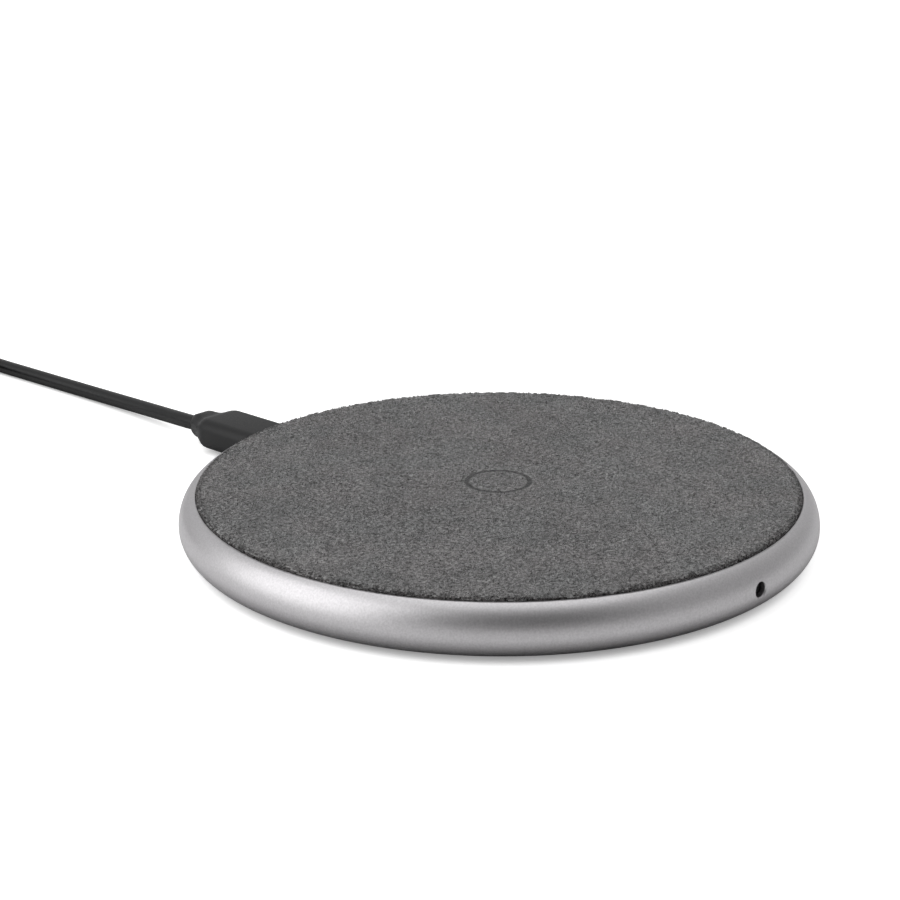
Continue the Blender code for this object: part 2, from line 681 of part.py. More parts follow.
def make_plug(materials):
    rear = BOOT_FRONT + SHELL_IN_BOOT
    inner_width = PLUG_WIDTH - 2 * PLUG_WALL
    inner_height = PLUG_THICKNESS - 2 * PLUG_WALL
    shell = [
        port_section(PLUG_WIDTH, PLUG_THICKNESS, PLUG_TIP),
        port_section(PLUG_WIDTH, PLUG_THICKNESS, rear),
        port_section(inner_width, inner_height, rear),
        port_section(inner_width, inner_height, PLUG_TIP),
    ]
    lofted("plug_shell", shell, materials["steel"], hollow=True)
    width = inner_width - 2 * FIT
    height = inner_height - 2 * FIT
    slot_width = TONGUE_WIDTH + 2 * FIT
    slot_height = TONGUE_THICKNESS + 2 * FIT
    slot_end = PORT_BACK + TONGUE_BASE + TONGUE_LENGTH + GAP
    mouth = PLUG_TIP + FIT
    carrier = [
        port_section(slot_width, slot_height, slot_end),
        port_section(slot_width, slot_height, mouth),
        port_section(width, height, mouth),
        port_section(width, height, rear),
    ]
    lofted("plug_contact_block", carrier, materials["moulding"])

    back = BOOT_FRONT + BOOT_LENGTH
    neck = RELIEF_RADIUS * 2
    nose = 0.3 * MM
    boot = lofted("plug_boot", [
        rounded_section(width, height, corner, y, z=PORT_HEIGHT)
        for width, height, corner, y in (
            (BOOT_WIDTH - 2 * nose, BOOT_HEIGHT - 2 * nose, BOOT_CORNER - nose, BOOT_FRONT),
            (BOOT_WIDTH, BOOT_HEIGHT, BOOT_CORNER, BOOT_FRONT + nose),
            (BOOT_WIDTH, BOOT_HEIGHT, BOOT_CORNER, back),
            (neck, min(neck, BOOT_HEIGHT) - nose, BOOT_CORNER, BOOT_BACK),
        )
    ], materials["rubber"])
    pocket_width = PLUG_WIDTH + 2 * FIT
    pocket_height = PLUG_THICKNESS + 2 * FIT
    pocket_ends = (BOOT_FRONT - GAP, BOOT_FRONT + POCKET_DEPTH)
    pocket = [port_section(pocket_width, pocket_height, y) for y in pocket_ends]
    boolean(boot, lofted("boot_pocket", pocket))
    board_start = rear + GAP
    board_end = BOOT_FRONT + POCKET_DEPTH - GAP
    block(
        "plug_board", (PLUG_WIDTH - 1.2 * MM, board_end - board_start, BOARD_THICKNESS),
        (0, (board_start + board_end) / 2, PORT_HEIGHT), materials["laminate"],
    )


def make_relief(name, start, length, radius, height, x, materials):
    """A turned strain relief along Y, from the boot at start to the cord's end."""
    end_radius = CORD_RADIUS + 0.35 * MM
    flat = length * 0.45
    outline = [(0, 0), (radius - 0.3 * MM, 0), (radius, 0.3 * MM), (radius, flat)]
    outline += arc((end_radius, flat), (radius - end_radius, length - flat), 0, math.pi / 2, 4)[1:]
    outline.append((0, length))
    relief = turned(name, outline, SMALL, materials["rubber"])
    relief.rotation_euler = (-math.pi / 2, 0, 0)
    relief.location = (x, start, height)


def winding_radii():
    across = WINDING_COLUMNS * CORD_DIAMETER
    return WINDING_MIDDLE - across / 2, WINDING_MIDDLE + across / 2


def make_lead(materials):
    route = [Vector(point) * MM for point in CORD_POINTS]
    tail = [Vector(point) * MM for point in TAIL_POINTS]
    tube("cord_lead", smooth_route(route, 2.5 * CORD_DIAMETER), CORD_RADIUS, materials["cord"])
    tube("cord_tail", smooth_route(tail, 1.6 * CORD_DIAMETER), CORD_RADIUS, materials["cord"])
    centre = Vector((*WINDING_CENTRE, 0)) * MM
    inner, outer = winding_radii()
    bottom = TIE_THICKNESS + FIT
    top = bottom + WINDING_LAYERS * CORD_DIAMETER
    edge = CORD_RADIUS * 0.6
    step, step_height = outer - CORD_DIAMETER, bottom + CORD_DIAMETER
    outline = arc((step - edge, top - edge), (edge, edge), math.pi / 2, 0, 2)
    outline.append((step, step_height))
    for x, z, start in (
        (outer - edge, step_height - edge, 90), (outer - edge, bottom + edge, 0),
        (inner + edge, bottom + edge, -90), (inner + edge, top - edge, -180),
    ):
        outline += arc((x, z), (edge, edge), math.radians(start), math.radians(start - 90), 2)
    winding = turned("cord_winding", outline, MEDIUM, materials["cord"])
    winding.location = centre

    tie_inner = math.sqrt(inner**2 - (TIE_WIDTH / 2) ** 2)
    wrap_width = outer - tie_inner + 2 * (TIE_THICKNESS + FIT)
    wrap_height = top - bottom + 2 * (TIE_THICKNESS + FIT)
    wrap = [
        rounded_section(
            wrap_width - change, wrap_height - change, edge + TIE_THICKNESS - change / 2, y,
            z=(top + bottom) / 2, steps=3,
        )
        for y, change in (
            (-TIE_WIDTH / 2, 0), (TIE_WIDTH / 2, 0),
            (TIE_WIDTH / 2, 2 * TIE_THICKNESS), (-TIE_WIDTH / 2, 2 * TIE_THICKNESS),
        )
    ]
    tie = lofted("cord_tie", wrap, materials["tie"], hollow=True)
    turn = math.radians(TIE_ANGLE)
    tie.rotation_euler = (0, 0, turn)
    tie.location = centre + polar((tie_inner + outer) / 2, TIE_ANGLE)


def make_far_plug(materials):
    x, start = FAR_PLUG[0] * MM, FAR_PLUG[1] * MM
    height = FAR_BOOT_HEIGHT / 2 + 0.05 * MM
    make_relief(
        "far_strain_relief", start - FAR_RELIEF_LENGTH, FAR_RELIEF_LENGTH, FAR_RELIEF_RADIUS, height, x,
        materials,
    )
    boot_back = start - FAR_RELIEF_LENGTH - GAP
    boot_front = boot_back - FAR_BOOT_LENGTH
    corner = 1.8 * MM
    nose = 0.4 * MM
    shoulder = 2.5 * MM
    boot = lofted("far_plug_boot", [
        rounded_section(FAR_BOOT_WIDTH - narrow, FAR_BOOT_HEIGHT - low, corner - low / 2, y, x, height)
        for narrow, low, y in (
            (2 * nose, 2 * nose, boot_front),
            (0, 0, boot_front + nose),
            (0, 0, boot_back - shoulder),
            (2 * shoulder, 2 * nose, boot_back),
        )
    ], materials["rubber"])
    pocket_depth = 5.0 * MM
    pocket = [
        rounded_section(
            FAR_SHELL_WIDTH + 2 * FIT, FAR_SHELL_HEIGHT + 2 * FIT, FAR_SHELL_CORNER, y, x, height,
        )
        for y in (boot_front - GAP, boot_front + pocket_depth)
    ]
    boolean(boot, lofted("far_boot_pocket", pocket))

    tip = boot_front - FAR_SHELL_LENGTH
    rear = boot_front + pocket_depth - GAP
    wall = 2 * FAR_SHELL_WALL
    shell = lofted("far_plug_shell", [
        rounded_section(
            FAR_SHELL_WIDTH - change, FAR_SHELL_HEIGHT - change, FAR_SHELL_CORNER - change / 2, y, x,
            height, 3,
        )
        for y, change in ((tip, 0), (rear, 0), (rear, wall), (tip, wall))
    ], materials["steel"], hollow=True)
    window_middle = tip + FAR_SHELL_LENGTH * 0.55
    for index, side in enumerate((-1, 1)):
        window = block(
            f"shell_window_{index}", (FAR_WINDOW, FAR_WINDOW * 0.8, 2 * FAR_SHELL_HEIGHT),
            (x + side * FAR_SHELL_WIDTH * 0.22, window_middle, height),
        )
        boolean(shell, window)

    inner_width = FAR_SHELL_WIDTH - wall - 2 * FIT
    tongue_height = 1.9 * MM
    floor = height - FAR_SHELL_HEIGHT / 2 + FAR_SHELL_WALL + FIT
    tongue_front = tip + 0.6 * MM
    tongue_end = rear - GAP
    block(
        "far_contact_block", (inner_width, tongue_end - tongue_front, tongue_height),
        (x, (tongue_front + tongue_end) / 2, floor + tongue_height / 2), materials["moulding"],
    )
    contact = Vector((1.1, 7.4, 0.15)) * MM
    contact_middle = tongue_front + 0.8 * MM + contact.y / 2
    for index in range(4):
        side = (index - 1.5) * 2.2 * MM
        block(
            f"far_contact_{index + 1}", contact,
            (x + side, contact_middle, floor + tongue_height + FIT / 3 + contact.z / 2),
            materials["gold"],
        )


def main():
    clear_scene()
    materials = {
        "suede": make_material("suede", (0.155, 0.153, 0.148), 0.95),
        "adhesive": make_material("adhesive film", (0.75, 0.72, 0.62), 0.6),
        "moulding": make_material("black ABS moulding", (0.02, 0.02, 0.02), 0.5),
        "aluminium": make_material("anodised aluminium", (0.62, 0.62, 0.63), 0.32, 1.0),
        "silicone": make_material("silicone foot", (0.035, 0.035, 0.037), 0.7),
        "steel": make_material("plated steel", (0.6, 0.6, 0.6), 0.25, 1.0),
        "laminate": make_material("circuit board", (0.02, 0.11, 0.05), 0.45),
        "chip": make_material("chip moulding", (0.03, 0.03, 0.03), 0.5),
        "capacitor": make_material("ceramic capacitor", (0.42, 0.3, 0.2), 0.5),
        "lens": make_material("smoked lens", (0.01, 0.01, 0.012), 0.15),
        "copper": make_material("enamelled copper", (0.7, 0.32, 0.16), 0.3, 1.0),
        "ferrite": make_material("ferrite", (0.06, 0.06, 0.065), 0.6),
        "foam": make_material("foam pad", (0.12, 0.12, 0.12), 0.95),
        "rubber": make_material("plug moulding", (0.045, 0.045, 0.047), 0.5),
        "cord": make_material("cord jacket", (0.03, 0.03, 0.032), 0.42),
        "tie": make_material("hook and loop tie", (0.02, 0.02, 0.02), 0.9),
        "gold": make_material("gold contact", (0.85, 0.6, 0.25), 0.25, 1.0),
    }
    make_cover(materials)
    make_top_plate(materials)
    make_ring(materials)
    make_base(materials)
    make_screws(materials)
    make_board(materials)
    make_parts_on_board(materials)
    make_light(materials)
    make_coil_stack(materials)
    make_port(materials)
    make_plug(materials)
    relief_start = BOOT_BACK + GAP
    make_relief("strain_relief", relief_start, RELIEF_LENGTH, RELIEF_RADIUS, PORT_HEIGHT, 0, materials)
    make_lead(materials)
    make_far_plug(materials)


main()
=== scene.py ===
"""Suede-topped wireless charging pad with its lead: fine shapes, finishes, light and camera.

Lengths are metres and +Z is up. The port faces +Y, and the status light faces -Y.
"""

import math
import random

import bmesh
import bpy
from bpy.props import FloatProperty, FloatVectorProperty, PointerProperty
from mathutils import Matrix, Vector, noise


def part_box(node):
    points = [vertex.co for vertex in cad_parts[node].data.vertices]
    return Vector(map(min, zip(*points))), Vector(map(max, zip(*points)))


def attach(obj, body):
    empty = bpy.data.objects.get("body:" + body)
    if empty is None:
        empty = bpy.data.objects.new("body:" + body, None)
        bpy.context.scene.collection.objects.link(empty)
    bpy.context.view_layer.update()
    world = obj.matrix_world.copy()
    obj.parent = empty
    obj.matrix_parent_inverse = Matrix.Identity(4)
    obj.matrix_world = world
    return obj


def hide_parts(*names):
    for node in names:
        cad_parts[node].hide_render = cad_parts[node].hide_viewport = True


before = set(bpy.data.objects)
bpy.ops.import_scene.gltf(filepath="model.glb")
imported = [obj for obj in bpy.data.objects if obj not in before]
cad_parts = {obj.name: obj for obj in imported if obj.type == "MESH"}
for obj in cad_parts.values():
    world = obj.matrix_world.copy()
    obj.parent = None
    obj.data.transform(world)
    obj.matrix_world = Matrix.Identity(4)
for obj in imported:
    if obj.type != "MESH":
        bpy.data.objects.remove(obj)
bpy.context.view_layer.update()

bl_info = {
    "name": "Wireless Charging Pad",
    "version": (1, 0, 0),
    "blender": (4, 5, 0),
    "location": "3D View > Sidebar > Charging Pad",
    "description": "Builds a suede-topped wireless charging pad, its lead and its studio",
    "category": "Add Mesh",
}

MM = 0.001
SOFTBOX_WIDTH = 1.0


def linear(code):
    """An sRGB hex colour as linear red, green, blue and alpha."""
    channels = [int(code[place:place + 2], 16) / 255 for place in (1, 3, 5)]
    light = [c / 12.92 if c <= 0.04045 else ((c + 0.055) / 1.055) ** 2.4 for c in channels]
    return (*light, 1.0)


def span(node):
    """Lowest corner, highest corner and size of a CAD node."""
    low, high = (Vector(corner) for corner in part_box(node))
    return low, high, high - low


RING_LOW, RING_HIGH, RING_SIZE = span("housing_ring")
COVER_LOW, COVER_HIGH, COVER_SIZE = span("suede_cover")
FOOT_LOW, FOOT_HIGH, FOOT_SIZE = span("foot_ring")
BOOT_LOW, BOOT_HIGH, BOOT_SIZE = span("plug_boot")
SHELL_LOW, SHELL_HIGH, SHELL_SIZE = span("plug_shell")
PORT_LOW, PORT_HIGH, PORT_SIZE = span("usb_receptacle_shell")
LENS_LOW, LENS_HIGH, LENS_SIZE = span("light_pipe")
FAR_BOOT_LOW, FAR_BOOT_HIGH, FAR_BOOT_SIZE = span("far_plug_boot")
FAR_RELIEF_LOW, _, FAR_RELIEF_SIZE = span("far_strain_relief")
FAR_SHELL_LOW, FAR_SHELL_HIGH, FAR_SHELL_SIZE = span("far_plug_shell")

# Ring profile: two elliptical arcs that meet at the widest point
RING_WIDEST = 4.56 * MM
UPPER_BULGE = 3.9 * MM
LOWER_BULGE = 5.1 * MM
UPPER_ARC = 1.2  # radians
CREST_LAND = 0.4 * MM  # flat top beside the suede
LEDGE_WIDTH = 2.2 * MM
LEDGE_TOP = 6.8 * MM
LEDGE_THICKNESS = 0.8 * MM
RING_WALL = 3.4 * MM
LOWER_LIP = 0.8 * MM
LOWER_LEDGE = 1.35 * MM
LOWER_LEDGE_THICKNESS = 0.65 * MM
LOWER_OPENING = 45.7 * MM
FOOT_WIDTH = 5.3 * MM
BORE_START = LOWER_OPENING - 1 * MM  # where the port and the light's hole are cut from

FIT = 0.15 * MM  # clearance round things that go through or round others
NEAR = 0.1 * MM  # reach of the search for the edges of one end
NOT_QUITE = 0.02 * MM  # by which the corners of a rounded slot fall short of a half circle
SHELL_GAP = 0.2 * MM  # by which a plug's shell is smaller than its pocket

PORT_AXIS = (PORT_LOW.z + PORT_HIGH.z) / 2
LIGHT_AXIS = (LENS_LOW.z + LENS_HIGH.z) / 2

# The lead's route, in millimetres: out of the boot, round the winding, and on to the far plug
LEAD_POINTS = (
    (0.0, 74.6, 3.4), (0.05, 77.7, 3.05), (0.3, 81.0, 2.85), (0.9, 86.0, 2.48), (1.5, 92.0, 2.1),
    (1.95, 100.0, 1.75), (2.13, 109.0, 1.52), (2.0, 120.0, 1.42), (1.7, 131.0, 1.42),
    (1.4, 141.0, 1.45), (1.3, 151.8, 1.7), (1.3, 157.5, 1.92),
)
TAIL_POINTS = (
    (-37.6, 172.9, 4.88), (-41.6, 167.6, 4.8), (-45.55, 160.9, 4.45), (-46.6, 157.4, 4.25),
    (-47.3, 153.9, 4.05), (-47.5, 150.3, 3.95), (-47.5, 148.0, 3.95),
)
WINDING_CENTRE = (-20.7, 163.0)  # millimetres
WINDING_OUTER = 22.0  # millimetres, to the middle of the outermost turn
WINDING_STEP = 7.5  # degrees between points
ROUTE_SPACING = 2.0  # millimetres between the cord's points
LOWER_TURNS = 5
UPPER_TURNS = 4
TIE_THICKNESS = 0.5 * MM
TIE_WIDTH = 6.0 * MM
TIE_ANGLE = 70.0  # degrees

# The moulded boot's rear, in millimetres: place along Y, half width, half height, height of its
# middle, and how round its section is
BOOT_REAR = (
    (69.2, 5.26, 2.85, 3.6, 0.05), (69.8, 5.1, 2.82, 3.6, 0.14), (70.4, 4.86, 2.73, 3.59, 0.3),
    (71.0, 4.55, 2.62, 3.57, 0.5), (71.6, 4.2, 2.54, 3.55, 0.7), (72.2, 3.85, 2.53, 3.53, 0.85),
    (72.8, 3.54, 2.6, 3.51, 0.95), (73.4, 3.26, 2.69, 3.49, 1.0), (74.0, 3.02, 2.72, 3.46, 1.0),
    (74.6, 2.78, 2.66, 3.42, 1.0), (75.1, 2.52, 2.47, 3.38, 1.0), (75.5, 2.22, 2.2, 3.34, 1.0),
    (75.85, 1.87, 1.86, 3.3, 1.0), (76.1, 1.5, 1.5, 3.27, 1.0), (76.2, 1.2, 1.2, 3.25, 1.0),
)
BOOT_STRAIGHT = 68.6 * MM  # where its rear starts to narrow

# The suede's cloth and nap
MARK_HALF_WIDTH = 0.3 * MM
MARK_SLOPE = 0.35 * MM  # width of the mark's side walls
MARK_DEPTH = 0.16 * MM
CLOTH_SINK = 0.06 * MM  # keeps the cloth's swells under the cover's top
EDGE_STEPS = 5  # levels round the rolled edge
EDGE_SPREAD = 0.17 * MM  # how far the rolled edge may bulge past its size
TUFTS = 860
TUFT_FIBRES = 16
NAP_PIECES = 2
NAP_FIBRES = 55000  # in each piece


class PadSizes(bpy.types.PropertyGroup):
    """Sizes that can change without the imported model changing."""

    cloth_edge: FloatProperty(
        name="Cloth edge", description="Radius of the suede's rolled edge", default=0.75 * MM,
        unit="LENGTH",
    )
    nap_length: FloatProperty(
        name="Nap length", description="Longest fibre of the suede's nap", default=0.42 * MM,
        unit="LENGTH",
    )
    mark_radius: FloatProperty(
        name="Centre mark", description="Radius of the ring pressed in the middle of the suede",
        default=5.2 * MM, unit="LENGTH",
    )
    light_hole: FloatProperty(
        name="Light hole", description="Radius of the hole for the status light",
        default=LENS_SIZE.x / 2 + 0.28 * MM, unit="LENGTH",
    )
    cord_diameter: FloatProperty(
        name="Cord diameter", description="Thickness of the lead", default=2.8 * MM, unit="LENGTH",
    )


class PadColours(bpy.types.PropertyGroup):
    """Colours of the visible finishes."""

    suede: FloatVectorProperty(
        name="Suede", description="Colour of the suede's tips", subtype="COLOR",
        default=linear("#807e7e")[:3],
    )
    suede_shade: FloatVectorProperty(
        name="Suede shade", description="Cooler colour of the suede's brushed patches",
        subtype="COLOR", default=linear("#7a7a7a")[:3],
    )
    aluminium: FloatVectorProperty(
        name="Aluminium", description="Colour of the anodised ring", subtype="COLOR",
        default=linear("#c6c4c6")[:3],
    )
    rubber: FloatVectorProperty(
        name="Plug moulding", description="Colour of the plugs' moulded grips", subtype="COLOR",
        default=linear("#141415")[:3],
    )
    cord: FloatVectorProperty(
        name="Cord", description="Colour of the lead's jacket", subtype="COLOR",
        default=linear("#0f0f10")[:3],
    )


class StudioView(bpy.types.PropertyGroup):
    """Where the camera stands and how bright the studio is."""

    bearing: FloatProperty(
        name="Bearing", description="Direction of the camera from the pad's middle, from +X",
        default=math.radians(-138.435), subtype="ANGLE",
    )
    elevation: FloatProperty(
        name="Elevation", description="Height of the camera above the floor as an angle",
        default=math.radians(21.145), subtype="ANGLE",
    )
    distance: FloatProperty(
        name="Distance", description="From the pad's middle on the floor to the camera",
        default=0.3473, unit="LENGTH",
    )
    aim: FloatVectorProperty(
        name="Aim", description="Point on the floor in the middle of the view",
        default=(0.02739, 0.03634, 0.0), subtype="TRANSLATION", unit="LENGTH",
    )
    roll: FloatProperty(
        name="Roll", description="Turn of the camera about its own axis",
        default=math.radians(-0.272), subtype="ANGLE",
    )
    lens: FloatProperty(
        name="Lens", description="Focal length in millimetres", default=83.52, unit="CAMERA",
    )
    key_light: FloatProperty(
        name="Key light", description="Power of the softbox overhead, in watts", default=1.9,
        unit="POWER",
    )
    side_light: FloatProperty(
        name="Side light", description="Power of the softbox on the left, in watts", default=4.3,
        unit="POWER",
    )


def add_node(tree, kind, inputs=None, output=0, **settings):
    """Add a node, set its properties, then set or link its inputs. Gives one of its outputs."""
    made = tree.nodes.new("ShaderNode" + kind)
    for name, value in settings.items():
        setattr(made, name, value)
    for socket, source in (inputs or {}).items():
        if isinstance(source, bpy.types.NodeSocket):
            tree.links.new(source, made.inputs[socket])
        else:
            made.inputs[socket].default_value = source
    return made.outputs[output]


def new_material(name, colour, roughness, **values):
    """A Principled material with these constants. Gives it, its tree and shader, and a place on it."""
    material = bpy.data.materials.new(name)
    material.use_nodes = True
    tree = material.node_tree
    shader = tree.nodes["Principled BSDF"]
    shader.inputs["Base Color"].default_value = (*colour[:3], 1.0)
    shader.inputs["Roughness"].default_value = roughness
    for socket, value in values.items():
        socket = socket.replace("_", " ").title().replace("Ior", "IOR")
        shader.inputs[socket].default_value = value
    return material, tree, shader, add_node(tree, "TexCoord", output="Object")


def feed(shader, **sources):
    """Link sources to a shader's inputs, where base_color stands for Base Color."""
    for name, source in sources.items():
        shader.id_data.links.new(source, shader.inputs[name.replace("_", " ").title()])


def speckle(tree, place, size, low, high, start, end, detail=2, roughness=0.5, stretch=None):
    """A pattern from low to high, with features of about this size in metres. It reaches low where
    its noise falls to start, and high where it rises to end."""
    if stretch:
        place = add_node(tree, "Mapping", {"Vector": place, "Scale": stretch})
    noisy = add_node(tree, "TexNoise", {
        "Vector": place, "Scale": 1 / size, "Detail": detail, "Roughness": roughness,
    })
    return add_node(tree, "MapRange", {
        "Value": noisy, "From Min": start, "From Max": end, "To Min": low, "To Max": high,
    })


def roughen(shader, place, size, low, high, depth, strength, detail=2, roughness=0.6):
    """Give a surface pits or lines of this size, in its relief and in its roughness from low to high."""
    tree = shader.id_data
    pits = add_node(tree, "TexNoise", {
        "Vector": place, "Scale": 1 / size, "Detail": detail, "Roughness": roughness,
    })
    uneven = add_node(tree, "MapRange", {
        "Value": pits, "From Min": 0.3, "From Max": 0.7, "To Min": low, "To Max": high,
    })
    relief = add_node(tree, "Bump", {"Height": pits, "Distance": depth, "Strength": strength})
    feed(shader, roughness=uneven, normal=relief)
    return pits


def shaded(tree, tone, *shares):
    """A tone made lighter or darker by every share."""
    light = shares[0]
    for share in shares[1:]:
        light = add_node(tree, "Math", {0: light, 1: share}, operation="MULTIPLY")
    grey = add_node(tree, "CombineColor", {"Red": light, "Green": light, "Blue": light})
    return add_node(
        tree, "Mix", {0: 1.0, 6: tone, 7: grey}, 2, data_type="RGBA", blend_type="MULTIPLY",
    )


def patterned(shader, dark, light, share, height, depth, strength):
    """Colour a surface from dark to light by a pattern's share, and raise it by a pattern's height."""
    tree = shader.id_data
    tone = add_node(tree, "Mix", {0: share, 6: linear(dark), 7: linear(light)}, 2, data_type="RGBA")
    relief = add_node(tree, "Bump", {"Height": height, "Distance": depth, "Strength": strength})
    feed(shader, base_color=tone, normal=relief)


def mark_shade(tree, place):
    """The pressed ring is darker: its crushed nap's own tone, with painted shade in its groove."""
    mark = bpy.context.scene.pad_sizes.mark_radius
    flat = add_node(tree, "VectorMath", {0: place, 1: (1, 1, 0)}, operation="MULTIPLY")
    away = add_node(tree, "VectorMath", {0: flat}, "Value", operation="LENGTH")
    across = add_node(tree, "Math", {0: away, 1: mark}, operation="SUBTRACT")
    across = add_node(tree, "Math", {0: across}, operation="ABSOLUTE")
    return add_node(tree, "MapRange", {
        "Value": across, "From Min": 0.32 * MM, "From Max": 0.55 * MM, "To Min": 0.15, "To Max": 1.0,
    })


def brushed_tone(tree, place):
    """The suede's colour where hands have brushed the nap: warmer, cooler, lighter and darker."""
    colours = bpy.context.scene.pad_colours
    patches = speckle(tree, place, 11 * MM, 0, 1, 0.38, 0.62)
    tone = add_node(
        tree, "Mix", {0: patches, 6: (*colours.suede, 1), 7: (*colours.suede_shade, 1)}, 2,
        data_type="RGBA",
    )
    strokes = speckle(tree, place, 17 * MM, 0.94, 1.1, 0.35, 0.65, 3, stretch=(1.0, 1.5, 1.0))
    return shaded(tree, tone, strokes)


def suede():
    """Brushed microfibre suede. The short nap lies in different directions, which gives soft patches of
    warmer and cooler grey. A fine speckle of painted highlights stands for lit tips, and painted shade
    for the small dark gaps and pits between tufts. Its fibres are about 0.02 mm thick, so tips, gaps and
    pits are drawn as coarse as they need to show."""
    colours = bpy.context.scene.pad_colours
    material, tree, shader, place = new_material(
        "brushed microfibre suede", colours.suede, 0.95, specular_ior_level=0.2, sheen_weight=0.25,
        sheen_roughness=0.6,
    )
    brushed = speckle(tree, place, 5 * MM, 0.88, 1.12, 0.3, 0.7, 3)
    # Painted highlights: lit tips of the nap, lighter than the suede's colour
    tips = speckle(tree, place, 0.55 * MM, 0.0, 2.05, 0.3, 0.7, 4, 0.7)
    # Painted shade: dark gaps between tufts
    gaps = speckle(tree, place, 0.9 * MM, 0.25, 1.0, 0.32, 0.44, 3, stretch=(0.8, 1.3, 1.0))
    # Painted shade: dark pits in the nap
    pits = speckle(tree, place, 0.8 * MM, 0.05, 1.0, 0.38, 0.44, 4, 0.8, (1.0, 0.6, 1.0))
    tone = brushed_tone(tree, place)
    # The colour with the painted highlights and painted shade multiplied in
    tone = shaded(tree, tone, brushed, tips, gaps, mark_shade(tree, place), pits)
    relief = add_node(tree, "Bump", {"Height": tips, "Distance": 0.12 * MM, "Strength": 0.8})
    feed(shader, base_color=tone, normal=relief)
    return material


def painted_shade_cut_edge():
    """The suede's cut side, painted darker and more uneven than the brushed face: painted shade between
    the ends of its fibres and on a side that faces down and away from the light. The tufts are drawn
    coarse, as on the face."""
    material, tree, shader, place = new_material(
        "cut suede edge with painted shade", linear("#454444"), 0.95, specular_ior_level=0.15,
    )
    tufts = speckle(tree, place, 0.5 * MM, 0.0, 1.0, 0.36, 0.64, 3, 0.7)
    # Painted shade: dark between the tufts, lighter on their ends
    patterned(shader, "#1b1a1a", "#6c6969", tufts, tufts, 0.15 * MM, 0.8)
    return material


def nap():
    """Single fibres of the suede, some darker and some with painted highlights where their tips catch
    the light.
    """
    colours = bpy.context.scene.pad_colours
    material, tree, shader, place = new_material(
        "suede fibres", colours.suede, 0.9, specular_ior_level=0.2, sheen_weight=0.2,
        sheen_roughness=0.5,
    )
    # Painted highlights: each fibre made lighter or darker, the lighter ones standing for lit tips
    each = speckle(tree, place, 0.3 * MM, 0.25, 1.95, 0.3, 0.7, 1)
    feed(shader, base_color=shaded(tree, brushed_tone(tree, place), each))
    return material


def aluminium():
    """Bead-blasted, clear-anodised aluminium: a satin metal whose fine pits spread every highlight.
    The pits are drawn three times coarser than they are, so that they show."""
    colours = bpy.context.scene.pad_colours
    material, tree, shader, place = new_material(
        "bead-blasted anodised aluminium", colours.aluminium, 0.4, metallic=1.0,
    )
    roughen(shader, place, 0.22 * MM, 0.36, 0.45, 0.02 * MM, 0.7, roughness=0.7)
    shade = speckle(tree, place, 0.3 * MM, 0.0, 1.0, 0.3, 0.7)
    tone = Vector(colours.aluminium)
    feed(shader, base_color=add_node(
        tree, "Mix", {0: shade, 6: (*(tone * 0.9), 1), 7: (*(tone * 1.07), 1)}, 2, data_type="RGBA",
    ))
    return material


def moulding(name, colour, roughness, texture, depth, level=0.5):
    """Moulded plastic or rubber with the fine spark-eroded texture of its mould, drawn two or three
    times coarser than it is so that it shows, and tones that handling has made a little uneven."""
    material, tree, shader, place = new_material(name, colour, roughness, specular_ior_level=level)
    roughen(shader, place, texture, roughness - 0.06, roughness + 0.08, depth, 0.5)
    wear = speckle(tree, place, 6 * MM, 0.0, 1.0, 0.35, 0.65, 3)
    tone = Vector(colour[:3])
    feed(shader, base_color=add_node(
        tree, "Mix", {0: wear, 6: (*(tone * 0.9), 1), 7: (*(tone * 1.15), 1)}, 2, data_type="RGBA",
    ))
    return material


def plated(name, colour, roughness):
    """Plated sheet metal with faint drawing lines along Y, its length."""
    material, tree, shader, place = new_material(name, colour, roughness, metallic=1.0)
    place = add_node(tree, "Mapping", {"Vector": place, "Scale": (4.0, 0.4, 4.0)})
    lines = roughen(
        shader, place, 0.3 * MM, roughness - 0.06, roughness + 0.12, 0.006 * MM, 0.4, 3,
    )
    tone = Vector(colour[:3])
    feed(shader, base_color=add_node(
        tree, "Mix", {0: lines, 6: (*(tone * 0.88), 1), 7: (*tone, 1)}, 2, data_type="RGBA",
    ))
    return material


def smoked_lens():
    """Smoked polycarbonate over the status light: matt and black in its hole while the light is off."""
    material, tree, shader, place = new_material(
        "smoked polycarbonate", linear("#010101"), 0.6, specular_ior_level=0.15,
    )
    feed(shader, roughness=speckle(tree, place, 0.4 * MM, 0.55, 0.68, 0.3, 0.7))
    return material


def laminate():
    """Glass-epoxy board under green solder mask, with the lighter copper pours showing through."""
    material, tree, shader, place = new_material("solder-masked laminate", linear("#12351f"), 0.35)
    pours = add_node(
        tree, "TexVoronoi", {"Vector": place, "Scale": 1 / (3 * MM)}, "Distance", distance="MANHATTAN",
    )
    edge = add_node(tree, "MapRange", {"Value": pours, "From Min": 0.42, "From Max": 0.46})
    patterned(shader, "#1b4d2c", "#12351f", edge, edge, 0.03 * MM, 0.4)
    return material


def wound_copper():
    """Enamelled litz wire wound flat: dark grooves between bands of turns, 2.5 mm apart (a wave
    repeats every tau / 20 / scale), and a reddish sheen on each. The strands are drawn coarse."""
    material, tree, shader, place = new_material(
        "enamelled copper wire", linear("#c07a45"), 0.32, metallic=1.0,
    )
    strands = add_node(tree, "TexNoise", {"Vector": place, "Scale": 1 / (0.25 * MM), "Detail": 2})
    turns = add_node(
        tree, "TexWave", {"Vector": place, "Scale": 1 / (20 * 0.4 * MM), "Distortion": 0.4}, "Fac",
        wave_type="RINGS", rings_direction="Z",
    )
    patterned(shader, "#8f4f26", "#d08a52", strands, turns, 0.05 * MM, 0.5)
    return material


